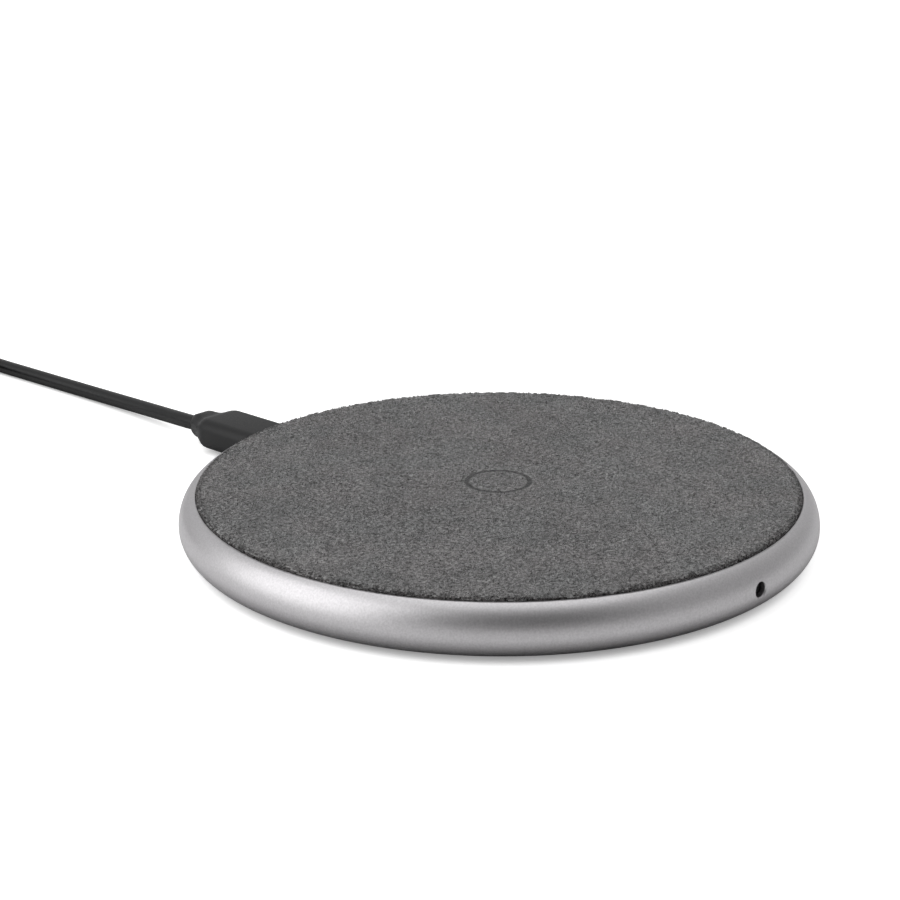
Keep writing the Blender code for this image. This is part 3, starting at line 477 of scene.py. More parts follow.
def ceramic():
    """Sintered ceramic: matt, with fine light and dark grains, drawn coarse so that they show."""
    material, tree, shader, place = new_material("sintered ceramic", linear("#7c6247"), 0.55)
    grains = add_node(tree, "TexNoise", {"Vector": place, "Scale": 1 / (0.2 * MM), "Detail": 3})
    patterned(shader, "#6a523b", "#8d7356", grains, grains, 0.01 * MM, 0.4)
    return material


def woven_strap():
    """Woven nylon tie: crossed yarns with a slight gloss, drawn 1 mm apart, twice as coarse as they
    are, so that they show (a wave repeats every tau / 20 / scale)."""
    material, tree, shader, place = new_material("woven nylon", linear("#1b1b1d"), 0.75)
    place = add_node(
        tree, "Mapping", {"Vector": place, "Rotation": (0, 0, math.radians(-TIE_ANGLE))},
    )
    warp, weft = (
        add_node(
            tree, "TexWave", {"Vector": place, "Scale": 3.14 / (20 * 0.5 * MM), "Distortion": 0.2},
            "Fac", wave_type="BANDS", bands_direction=direction,
        ) for direction in ("X", "Y")
    )
    yarns = add_node(tree, "Math", {0: warp, 1: weft}, operation="MULTIPLY")
    patterned(shader, "#0e0e0f", "#2c2c2f", yarns, yarns, 0.12 * MM, 0.8)
    return material


def make_finishes():
    """Every finish by its slot name."""
    colours = bpy.context.scene.pad_colours
    return {
        "suede": suede(),
        "nap": nap(),
        "painted_shade_cut_edge": painted_shade_cut_edge(),
        "aluminium": aluminium(),
        # Satin black grips, softly lit along their rounded edges
        "rubber": moulding("moulded TPE grip", colours.rubber, 0.42, 0.16 * MM, 0.02 * MM, 0.3),
        # A smoother black jacket, with a narrow sheen along the cord
        "cord": moulding("extruded TPE jacket", colours.cord, 0.34, 0.5 * MM, 0.012 * MM, 0.3),
        # A dull near-black shell
        "moulding": moulding("spark-textured ABS", linear("#1c1c1e"), 0.55, 0.3 * MM, 0.03 * MM),
        # Dusty dark grey with no clear highlight
        "silicone": moulding("matt silicone rubber", linear("#2e2e30"), 0.72, 0.35 * MM, 0.02 * MM),
        # Cloudy straw-coloured film
        "adhesive": moulding("adhesive film", linear("#d8d2bf"), 0.6, 0.6 * MM, 0.01 * MM),
        # Dark grey foam with open-looking cells on its cut faces
        "foam": moulding("closed-cell foam", linear("#3c3c3c"), 0.95, 0.4 * MM, 0.1 * MM, 0.2),
        # Fine-grained black moulding
        "chip": moulding("epoxy chip moulding", linear("#202022"), 0.5, 0.12 * MM, 0.01 * MM),
        # Slate-grey pressed powder
        "ferrite": moulding("pressed ferrite", linear("#404043"), 0.6, 0.2 * MM, 0.01 * MM),
        "capacitor": ceramic(),
        "laminate": laminate(),
        "copper": wound_copper(),
        "lens": smoked_lens(),
        "tie": woven_strap(),
        # Bright, slightly warm metal
        "steel": plated("nickel-plated steel", linear("#c9c8c4"), 0.24),
        # Pale yellow metal
        "gold": plated("gold-plated contact", linear("#d9b064"), 0.25),
    }


FINISHES = {}


def finish(name):
    if not FINISHES:
        FINISHES.update(make_finishes())
    return FINISHES[name]


def dress(*nodes):
    """Give CAD nodes that keep their shape the finish of their own slot."""
    for node in nodes:
        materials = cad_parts[node].data.materials
        materials.clear()
        materials.append(finish(NODE_FINISH[node]))


def add_piece(name, bm, body, slot, replaced=(), material=None, sharp=35.0):
    """The bmesh as a piece that rides on a body, with this slot's finish."""
    mesh = bpy.data.meshes.new(name)
    bm.normal_update()
    bm.to_mesh(mesh)
    bm.free()
    mesh.shade_smooth()
    mesh.set_sharp_from_angle(angle=math.radians(sharp))
    mesh.materials.append(finish(material or slot))
    piece = bpy.data.objects.new(name, mesh)
    bpy.context.scene.collection.objects.link(piece)
    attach(piece, body)
    if replaced:
        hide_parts(*replaced)
    return piece


def carved(bm, *tools):
    """The shape in bm with the shapes in tools cut away."""
    items = []
    for shape in (bm, *tools):
        bmesh.ops.recalc_face_normals(shape, faces=shape.faces)
        mesh = bpy.data.meshes.new("shape")
        shape.to_mesh(mesh)
        shape.free()
        items.append(bpy.data.objects.new("shape", mesh))
        bpy.context.scene.collection.objects.link(items[-1])
    for tool in items[1:]:
        modifier = items[0].modifiers.new("cut", "BOOLEAN")
        modifier.operation = "DIFFERENCE"
        modifier.solver = "EXACT"
        modifier.object = tool
    bpy.context.view_layer.update()
    result = bmesh.new()
    result.from_object(items[0], bpy.context.evaluated_depsgraph_get())
    for item in items:
        mesh = item.data
        bpy.data.objects.remove(item)
        bpy.data.meshes.remove(mesh)
    return result


def arc(centre, radii, start, end, steps):
    """Points on an elliptical arc, angles in radians."""
    found = []
    for step in range(steps + 1):
        angle = start + (end - start) * step / steps
        across, up = radii[0] * math.cos(angle), radii[1] * math.sin(angle)
        found.append((centre[0] + across, centre[1] + up))
    return found


def turned(outline, steps, closed=True):
    """A bmesh of (radius, height) points spun round Z."""
    bm = bmesh.new()
    points = [bm.verts.new((radius, 0, height)) for radius, height in outline]
    edges = [bm.edges.new(pair) for pair in zip(points, points[1:])]
    if closed:
        edges.append(bm.edges.new((points[-1], points[0])))
    bmesh.ops.spin(
        bm, geom=points + edges, axis=(0, 0, 1), cent=(0, 0, 0), angle=2 * math.pi, steps=steps,
        use_merge=True,
    )
    bmesh.ops.remove_doubles(bm, verts=bm.verts, dist=0.001 * MM)
    bmesh.ops.recalc_face_normals(bm, faces=bm.faces)
    return bm


def turned_along_y(outline, steps, place, forward=1):
    """As turned, then laid along +Y, or -Y if forward is -1, from place."""
    bm = turned(outline, steps, closed=False)
    turn = Matrix.Rotation(-forward * math.pi / 2, 3, "X")
    bmesh.ops.rotate(bm, cent=(0, 0, 0), matrix=turn, verts=bm.verts)
    bmesh.ops.translate(bm, vec=place, verts=bm.verts)
    return bm


def bar(width, height, corner, start, end, x=0.0, z=0.0, segments=8):
    """A bar along Y from start to end with a rounded rectangle for its section."""
    bm = bmesh.new()
    length = end - start
    middle = Matrix.Translation((x, (start + end) / 2, z))
    bmesh.ops.create_cube(bm, size=1, matrix=middle @ Matrix.Diagonal((width, length, height, 1)))
    long_edges = [e for e in bm.edges if abs(e.verts[0].co.y - e.verts[1].co.y) > length / 2]
    bmesh.ops.bevel(
        bm, geom=long_edges, offset=corner, segments=segments, profile=0.5, affect="EDGES",
        material=-1,
    )
    return bm


def end_face(bm, side):
    """The flat face at the +Y end if side is 1, or at the -Y end if it is -1."""
    bm.faces.ensure_lookup_table()
    bm.normal_update()
    flat = [face for face in bm.faces if face.normal.y * side > 0.99]
    return max(flat, key=lambda face: (face.calc_center_median().y * side, face.calc_area()))


def push(bm, face, move, scale=(1.0, 1.0)):
    """Extrude a face along Y and scale it in X and Z about its middle."""
    middle = face.calc_center_bounds()
    made = bmesh.ops.extrude_discrete_faces(bm, faces=[face])
    face = made["faces"][0]
    place = Matrix.Translation(-middle)
    bmesh.ops.scale(bm, vec=(scale[0], 1, scale[1]), space=place, verts=face.verts)
    bmesh.ops.translate(bm, vec=(0, move, 0), verts=face.verts)


def soften(bm, offset, segments, place):
    """Bevel the edges sharper than 35 degrees that lie at a place along Y."""
    bm.normal_update()
    found = [
        edge for edge in bm.edges
        if len(edge.link_faces) == 2 and edge.calc_face_angle() > math.radians(35)
        and all(abs(vert.co.y - place) < NEAR for vert in edge.verts)
    ]
    bmesh.ops.bevel(
        bm, geom=found, offset=offset, segments=segments, profile=0.5, affect="EDGES", material=-1,
    )


def tubed(bm, face, wall, depth):
    """Hollow a bar from its end face at -Y, leaving this wall."""
    bmesh.ops.inset_region(bm, faces=[face], thickness=wall, use_even_offset=True)
    push(bm, face, depth)


class PAD_OT_studio(bpy.types.Operator):
    """Build the floor, the soft lights and the camera"""

    bl_idname = "pad.studio"
    bl_label = "Studio"

    def execute(self, context):
        view = context.scene.pad_studio
        context.scene.view_settings.view_transform = "Standard"
        away = Vector((math.cos(view.bearing), math.sin(view.bearing), 0))
        self.add_camera(context, view, away)
        self.add_floor(context)
        self.add_lights(context, view, away)
        self.add_world(context, away)
        return {"FINISHED"}

    def add_camera(self, context, view, away):
        data = bpy.data.cameras.new("camera")
        data.lens = view.lens
        data.sensor_width = 36.0
        data.clip_start = 0.01
        data.clip_end = 20.0
        camera = bpy.data.objects.new("camera", data)
        context.scene.collection.objects.link(camera)
        place = away * view.distance * math.cos(view.elevation)
        place.z = view.distance * math.sin(view.elevation)
        turn = (Vector(view.aim) - place).to_track_quat("-Z", "Y").to_matrix().to_4x4()
        camera.matrix_world = Matrix.Translation(place) @ turn @ Matrix.Rotation(view.roll, 4, "Z")
        context.scene.camera = camera

    def add_floor(self, context):
        bm = bmesh.new()
        bmesh.ops.create_circle(bm, cap_ends=True, segments=96, radius=6.0)
        mesh = bpy.data.meshes.new("floor")
        bm.to_mesh(mesh)
        bm.free()
        floor = bpy.data.objects.new("floor", mesh)
        context.scene.collection.objects.link(floor)
        mesh.materials.append(self.paper())

    def paper(self):
        """Matt white paper, seen by the camera as plain white with only a painted contact shadow close
        under things, its glow dimmed by occlusion. What the ring reflects of it has painted shade under
        the ring and the lead, its colour darkened by occlusion."""
        material, tree, shader, _ = new_material(
            "matt white paper", linear("#e0e0e0"), 0.9, specular_ior_level=0.0,
        )
        wide, close = (
            add_node(tree, "AmbientOcclusion", {"Distance": reach}, "AO", samples=8)
            for reach in (9 * MM, 1.8 * MM)
        )
        # Painted shade: the colour that the ring reflects is darkened by occlusion under the ring and
        # the lead
        feed(shader, base_color=add_node(
            tree, "Mix", {0: wide, 6: linear("#484848"), 7: linear("#f8f8f8")}, 2, data_type="RGBA",
        ))
        plain = add_node(tree, "BsdfDiffuse", {"Color": linear("#e4e4e4")})
        # Painted contact shadow: the glow that the camera sees is dimmed by occlusion close under things
        strength = add_node(
            tree, "MapRange", {"Value": close, "From Max": 0.7, "To Min": 0.2, "To Max": 0.74},
        )
        glow = add_node(tree, "Emission", {"Color": linear("#ffffff"), "Strength": strength})
        bright = add_node(tree, "AddShader", {0: plain, 1: glow})
        seen = add_node(tree, "LightPath", output="Is Camera Ray")
        mixed = add_node(tree, "MixShader", {0: seen, 1: shader.outputs[0], 2: bright})
        tree.links.new(mixed, tree.nodes["Material Output"].inputs["Surface"])
        return material

    def add_lights(self, context, view, away):
        """One softbox overhead, a little behind the pad, and one low on the left."""
        side = Matrix.Rotation(math.radians(-72), 3, "Z") @ away
        for name, place, power in (
            ("overhead softbox", Vector((0, 0, 0.9)) - away * 0.15, view.key_light),
            ("side softbox", side * 0.8 + Vector((0, 0, 0.36)), view.side_light),
        ):
            data = bpy.data.lights.new(name, "AREA")
            data.shape = "SQUARE"
            data.size = SOFTBOX_WIDTH
            data.energy = power
            light = bpy.data.objects.new(name, data)
            context.scene.collection.objects.link(light)
            light.matrix_world = Matrix.Translation(place) @ (
                (-place).to_track_quat("-Z", "Y").to_matrix().to_4x4()
            )

    def add_world(self, context, away):
        """An even pale sky that is darker behind the camera, as in a studio lit from above, and
        dimmer on the right. The camera itself sees plain white."""
        world = bpy.data.worlds.new("studio")
        context.scene.world = world
        world.use_nodes = True
        tree = world.node_tree
        direction = add_node(tree, "TexCoord", output="Generated")
        height = add_node(tree, "SeparateXYZ", {0: direction}, "Z")
        light = add_node(tree, "MapRange", {
            "Value": height, "From Min": 0.1, "From Max": 0.9, "To Min": 0.56, "To Max": 0.66,
        })
        # Degrees from the camera's bearing, rise, share of light left, and where it starts and ends
        for degrees, rise, share, start, end in ((8, 0.5, 0.12, 0.72, 0.95), (75, 0, 0.72, 0.3, 0.9)):
            aim = Matrix.Rotation(math.radians(degrees), 3, "Z") @ away + Vector((0, 0, rise))
            facing = add_node(
                tree, "VectorMath", {0: direction, 1: aim.normalized()}, "Value",
                operation="DOT_PRODUCT",
            )
            shade = add_node(tree, "MapRange", {
                "Value": facing, "From Min": start, "From Max": end, "To Min": 1.0, "To Max": share,
            })
            light = add_node(tree, "Math", {0: light, 1: shade}, operation="MULTIPLY")
        seen = add_node(tree, "LightPath", output="Is Camera Ray")
        grey = add_node(tree, "CombineColor", {"Red": light, "Green": light, "Blue": light})
        sky = add_node(tree, "Mix", {0: seen, 6: grey, 7: linear("#ffffff")}, 2, data_type="RGBA")
        feed(tree.nodes["Background"], color=sky)


def winding_points(diameter):
    """Points of the wound lead: one layer inwards on the floor, then one outwards on top of it."""
    low = (TIE_THICKNESS + FIT) / MM + diameter / 2
    high = low + diameter
    lower = [WINDING_OUTER - diameter * turn for turn in range(LOWER_TURNS)]
    upper = lower[::-1][:UPPER_TURNS]
    # Bearing in degrees, radius and height, at which a turn starts or ends its step to the next one
    knots = [(0, lower[0], low)]
    for turn in range(LOWER_TURNS - 1):
        start = 360 * turn
        knots += [(start + 210, lower[turn], low), (start + 285, lower[turn + 1], low)]
    rise = 360 * (LOWER_TURNS - 1) + 150
    knots += [(rise, lower[-1], low), (rise + 90, lower[-1], high)]
    for turn in range(UPPER_TURNS - 1):
        start = 360 * (LOWER_TURNS + turn)
        knots += [(start + 120, upper[turn], high), (start + 195, upper[turn + 1], high)]
    knots.append((360 * (LOWER_TURNS + UPPER_TURNS - 1) + 135, upper[-1], high))
    points = []
    for (angle, radius, level), (end, next_radius, next_level) in zip(knots, knots[1:]):
        count = round((end - angle) / WINDING_STEP)
        for index in range(count):
            part = index / count
            ease = part * part * (3 - 2 * part)
            turn = math.radians(angle + (end - angle) * part)
            away = radius + (next_radius - radius) * ease
            place = Vector((*WINDING_CENTRE, level + (next_level - level) * ease))
            points.append(place + Vector((away * math.cos(turn), away * math.sin(turn), 0)))
    return points


def smooth_route(points, spacing):
    """Points about a spacing apart on a smooth curve through the route's points."""
    points = [Vector(point) for point in points]
    padded = [2 * points[0] - points[1]] + points + [2 * points[-1] - points[-2]]
    found = [points[0]]
    for a, b, c, d in zip(padded, padded[1:], padded[2:], padded[3:]):
        steps = max(1, round((c - b).length / spacing))
        for step in range(1, steps + 1):
            t = step / steps
            slope = (c - a) * t
            bend = (2 * a - 5 * b + 4 * c - d) * t**2
            twist = (3 * b - a - 3 * c + d) * t**3
            found.append((2 * b + slope + bend + twist) / 2)
    return found


class PAD_OT_lead(bpy.types.Operator):
    """Build the cord from the plug's boot through its winding to the far plug, and its tie"""

    bl_idname = "pad.lead"
    bl_label = "Lead"

    def execute(self, context):
        diameter = context.scene.pad_sizes.cord_diameter
        route = list(LEAD_POINTS) + winding_points(diameter / MM) + list(TAIL_POINTS)
        points = [point * MM for point in smooth_route(route, ROUTE_SPACING)]
        curve = bpy.data.curves.new("lead_cord", "CURVE")
        curve.dimensions = "3D"
        curve.bevel_depth = diameter / 2
        curve.bevel_resolution = 6
        curve.use_fill_caps = True
        spline = curve.splines.new("POLY")
        spline.points.add(len(points) - 1)
        for target, point in zip(spline.points, points):
            target.co = (*point, 1)
        curve.materials.append(finish("cord"))
        cord = bpy.data.objects.new("lead_cord", curve)
        context.scene.collection.objects.link(cord)
        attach(cord, "lead")
        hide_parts("cord_lead", "cord_winding", "cord_tail")
        tie = self.add_tie(diameter)
        far = add_far_plug()
        dress("far_contact_block", *(f"far_contact_{index}" for index in range(1, 5)))
        return {"FINISHED"}

    def add_tie(self, diameter):
        """A strap round the bundle, whose section follows the turns, drawn in the plane of X and Z."""
        inner = WINDING_OUTER * MM - (LOWER_TURNS - 0.5) * diameter
        inner = math.sqrt(inner**2 - (TIE_WIDTH / 2) ** 2)
        outer = WINDING_OUTER * MM + diameter / 2
        bottom = TIE_THICKNESS + FIT
        half = FIT + TIE_THICKNESS / 2
        bend = diameter / 2 * 0.9
        top = bottom + 2 * diameter
        section = []
        for x, z, start, end in (
            (inner + bend, bottom + bend, -90, -180),
            (inner + bend, top - bend, -180, -270),
            (outer - diameter - bend, top - bend, 90, 45),
            (outer - bend, bottom + diameter - bend, 45, 0),
            (outer - bend, bottom + bend, 0, -90),
        ):
            start, end = math.radians(start), math.radians(end)
            section += arc((x, z), (bend + half, bend + half), start, end, 6)
        bm = bmesh.new()
        ring = [bm.verts.new((x, -TIE_WIDTH / 2, z)) for x, z in section]
        edges = [bm.edges.new(pair) for pair in zip(ring, ring[1:] + ring[:1])]
        for _ in range(4):
            made = bmesh.ops.extrude_edge_only(bm, edges=edges)["geom"]
            edges = [item for item in made if isinstance(item, bmesh.types.BMEdge)
                     and abs(item.verts[0].co.y - item.verts[1].co.y) < 1e-9]
            moved = {vert for edge in edges for vert in edge.verts}
            bmesh.ops.translate(bm, vec=(0, TIE_WIDTH / 4, 0), verts=list(moved))
        bmesh.ops.recalc_face_normals(bm, faces=bm.faces)
        bmesh.ops.solidify(bm, geom=bm.faces, thickness=TIE_THICKNESS)
        turn = Matrix.Rotation(math.radians(TIE_ANGLE), 3, "Z")
        bmesh.ops.rotate(bm, cent=(0, 0, 0), matrix=turn, verts=bm.verts)
        bmesh.ops.translate(bm, vec=Vector((*WINDING_CENTRE, 0)) * MM, verts=bm.verts)
        bmesh.ops.recalc_face_normals(bm, faces=bm.faces)
        return add_piece("lead_tie", bm, "lead", "tie", ("cord_tie",))


def relief_outline():
    """Outline of the far plug's moulded collar, which starts inside the grip and rounds down to the
    cord."""
    length, radius = FAR_RELIEF_SIZE.y, FAR_RELIEF_SIZE.x / 2
    cord_end, flat, sunk = 1.75 * MM, length * 0.45, 0.6 * MM
    outline = [(0, -sunk), (radius * 0.88, -sunk), (radius * 0.88, 0.2 * MM)]
    outline += arc((radius - 0.55 * MM, 1.0 * MM), (0.55 * MM, 0.7 * MM), -math.pi / 4, 0, 5)
    outline += arc((cord_end, flat), (radius - cord_end, length - flat), 0, math.pi / 2, 14)
    return outline + [(cord_end - 0.25 * MM, length), (0, length)]


def add_far_plug():
    """The USB-A plug at the lead's far end: its grip with a collar, and its folded shell."""
    x = (FAR_BOOT_LOW.x + FAR_BOOT_HIGH.x) / 2
    z = (FAR_BOOT_LOW.z + FAR_BOOT_HIGH.z) / 2
    taper = 2.5 * MM
    grip = bar(
        FAR_BOOT_SIZE.x, FAR_BOOT_SIZE.z, 1.9 * MM, FAR_BOOT_LOW.y, FAR_BOOT_HIGH.y - taper, x, z,
    )
    push(grip, end_face(grip, 1), taper, (0.7, 0.88))
    soften(grip, 0.5 * MM, 4, FAR_BOOT_HIGH.y)
    soften(grip, 0.45 * MM, 4, FAR_BOOT_LOW.y)
    pocket = bar(
        FAR_SHELL_SIZE.x + SHELL_GAP, FAR_SHELL_SIZE.z + SHELL_GAP, 0.6 * MM,
        FAR_BOOT_LOW.y - 1 * MM, FAR_BOOT_LOW.y + 4.9 * MM, x, z,
    )
    grip = carved(grip, pocket)
    grip_piece = add_piece("usb_a_grip", grip, "lead", "rubber", ("far_plug_boot",))
    collar = turned_along_y(relief_outline(), 48, (x, FAR_RELIEF_LOW.y, z))
    collar_piece = add_piece("usb_a_collar", collar, "lead", "rubber", ("far_strain_relief",))
    shell = bar(
        FAR_SHELL_SIZE.x, FAR_SHELL_SIZE.z, 0.7 * MM, FAR_SHELL_LOW.y, FAR_SHELL_HIGH.y, x, z,
        segments=5,
    )
    tubed(shell, end_face(shell, -1), 0.3 * MM, FAR_SHELL_SIZE.y - 0.4 * MM)
    windows = []
    for side in (-1, 1):
        window = bmesh.new()
        middle = (x + side * FAR_SHELL_SIZE.x * 0.22, FAR_SHELL_LOW.y + 6.6 * MM, z)
        size = Matrix.Diagonal((2.4 * MM, 1.92 * MM, 9 * MM, 1))
        bmesh.ops.create_cube(window, size=1, matrix=Matrix.Translation(middle) @ size)
        windows.append(window)
    shell = carved(shell, *windows)
    shell_piece = add_piece("usb_a_shell", shell, "lead", "steel", ("far_plug_shell",))
    return grip_piece, collar_piece, shell_piece


class PAD_OT_plug(bpy.types.Operator):
    """Build the USB-C plug's moulded boot and shell"""

    bl_idname = "pad.plug"
    bl_label = "USB-C plug"

    def execute(self, context):
        z = (BOOT_LOW.z + BOOT_HIGH.z) / 2
        half_width, half_height = BOOT_SIZE.x / 2, BOOT_SIZE.z / 2
        boot = bar(BOOT_SIZE.x, BOOT_SIZE.z, 2.1 * MM, BOOT_LOW.y, BOOT_STRAIGHT, 0, z, 12)
        soften(boot, 0.3 * MM, 4, BOOT_LOW.y)
        face = end_face(boot, 1)
        for place, wide, high, middle, roundness in BOOT_REAR:
            face = bmesh.ops.extrude_discrete_faces(boot, faces=[face])["faces"][0]
            for vert in face.verts:
                across, up = vert.co.x / half_width, (vert.co.z - z) / half_height
                reach = 1 + (1 / math.hypot(across, up) - 1) * roundness
                vert.co = Vector((across * reach * wide, place, middle + up * reach * high)) * MM
            half_width, half_height, z = wide * MM, high * MM, middle * MM
        z = (BOOT_LOW.z + BOOT_HIGH.z) / 2
        width, height = SHELL_SIZE.x + SHELL_GAP, SHELL_SIZE.z + SHELL_GAP
        slot = bar(
            width, height, height / 2 - NOT_QUITE, BOOT_LOW.y - 1 * MM, BOOT_LOW.y + 9 * MM, 0, z,
        )
        add_piece("usb_c_boot", carved(boot, slot), "lead", "rubber", ("plug_boot", "strain_relief"))
        shell = bar(
            SHELL_SIZE.x, SHELL_SIZE.z, SHELL_SIZE.z / 2 - NOT_QUITE, SHELL_LOW.y, SHELL_HIGH.y, 0, z,
        )
        soften(shell, 0.12 * MM, 3, SHELL_LOW.y)
        tubed(shell, end_face(shell, -1), 0.1 * MM, SHELL_SIZE.y - 0.3 * MM)
        add_piece("usb_c_shell", shell, "lead", "steel", ("plug_shell",))
        dress("plug_contact_block", "plug_board")
        return {"FINISHED"}


class PAD_OT_ring(bpy.types.Operator):
    """Build the turned aluminium ring with its port and light hole"""

    bl_idname = "pad.ring"
    bl_label = "Aluminium ring"

    def execute(self, context):
        hole = context.scene.pad_sizes.light_hole
        radius, crest, low = RING_SIZE.x / 2, RING_HIGH.z, RING_LOW.z
        foot = radius - LOWER_BULGE
        upper_height = (crest - RING_WIDEST) / math.sin(UPPER_ARC)
        recess = radius - UPPER_BULGE * (1 - math.cos(UPPER_ARC)) - CREST_LAND
        lip = 0.06 * MM
        outline = arc(
            (radius - UPPER_BULGE, RING_WIDEST), (UPPER_BULGE, upper_height), UPPER_ARC, 0, 22,
        )
        outline += arc((foot, RING_WIDEST), (LOWER_BULGE, RING_WIDEST - low), 0, -math.pi / 2, 24)[1:]
        outline += [
            (foot - LOWER_LIP + lip, low), (foot - LOWER_LIP, low + lip),
            (foot - LOWER_LIP, LOWER_LEDGE), (LOWER_OPENING, LOWER_LEDGE),
            (LOWER_OPENING, LOWER_LEDGE + LOWER_LEDGE_THICKNESS),
            (radius - RING_WALL, LOWER_LEDGE + LOWER_LEDGE_THICKNESS),
            (radius - RING_WALL, LEDGE_TOP - LEDGE_THICKNESS),
            (recess - LEDGE_WIDTH, LEDGE_TOP - LEDGE_THICKNESS), (recess - LEDGE_WIDTH, LEDGE_TOP),
            (recess, LEDGE_TOP), (recess, crest - lip), (recess + lip, crest),
        ]
        ring = turned(outline, 288)
        width, height = PORT_SIZE.x + 2 * FIT, PORT_SIZE.z + 2 * FIT
        port = bar(
            width, height, height / 2 - NOT_QUITE, BORE_START, radius + 1 * MM, 0, PORT_AXIS,
        )
        chamfer, deep = 0.16 * MM, radius - BORE_START - 0.22 * MM
        past = radius - BORE_START + 1.1 * MM
        bore = [
            (0, 0), (hole, 0), (hole, deep), (hole + chamfer, deep + chamfer),
            (hole + 1.2 * MM, past), (0, past),
        ]
        drill = turned_along_y(bore, 48, (0, -BORE_START, LIGHT_AXIS), -1)
        ring = carved(ring, port, drill)
        add_piece("turned_ring", ring, "pad", "aluminium", ("housing_ring",), sharp=28.0)
        lens = [(0, 0), (LENS_SIZE.x / 2, 0)]
        tip, dome = -LENS_LOW.y - BORE_START - 0.4 * MM, 0.18 * MM
        lens += arc((0, tip - dome), (LENS_SIZE.x / 2, dome), 0, math.pi / 2, 8)
        lens[-1] = (0, tip)
        pipe = turned_along_y(lens, 40, (0, -BORE_START, LIGHT_AXIS), -1)
        add_piece("light_lens", pipe, "pad", "lens", ("light_pipe",))
        dress("usb_receptacle_shell", "usb_receptacle_tongue", "status_led")
        return {"FINISHED"}


def disc_point(x, y):
    """A point of the square from -1 to 1, moved so that the square becomes an even disc."""
    if x == 0 and y == 0:
        return 0.0, 0.0
    if abs(x) > abs(y):
        angle = math.pi / 4 * y / x
        return x * math.cos(angle), x * math.sin(angle)
    angle = math.pi / 2 - math.pi / 4 * x / y
    return y * math.cos(angle), y * math.sin(angle)


def cloth_height(x, y, mark):
    """Unevenness of the suede in metres: soft swells, clumps of nap and the mark pressed in it."""
    place = Vector((x, y, 0)) / MM
    swell = noise.noise(place / 9.0) * 0.03 * MM
    clumps = noise.noise(place / 1.7 + Vector((40, 0, 0))) * 0.07 * MM
    clumps += noise.noise(place / 0.75 + Vector((0, 70, 0))) * 0.1 * MM
    across = abs(math.hypot(x, y) - mark)
    pressed = max(0.0, 1.0 - max(0.0, across - MARK_HALF_WIDTH) / MARK_SLOPE)
    return swell + clumps * (1 - 0.7 * pressed) - MARK_DEPTH * pressed - CLOTH_SINK


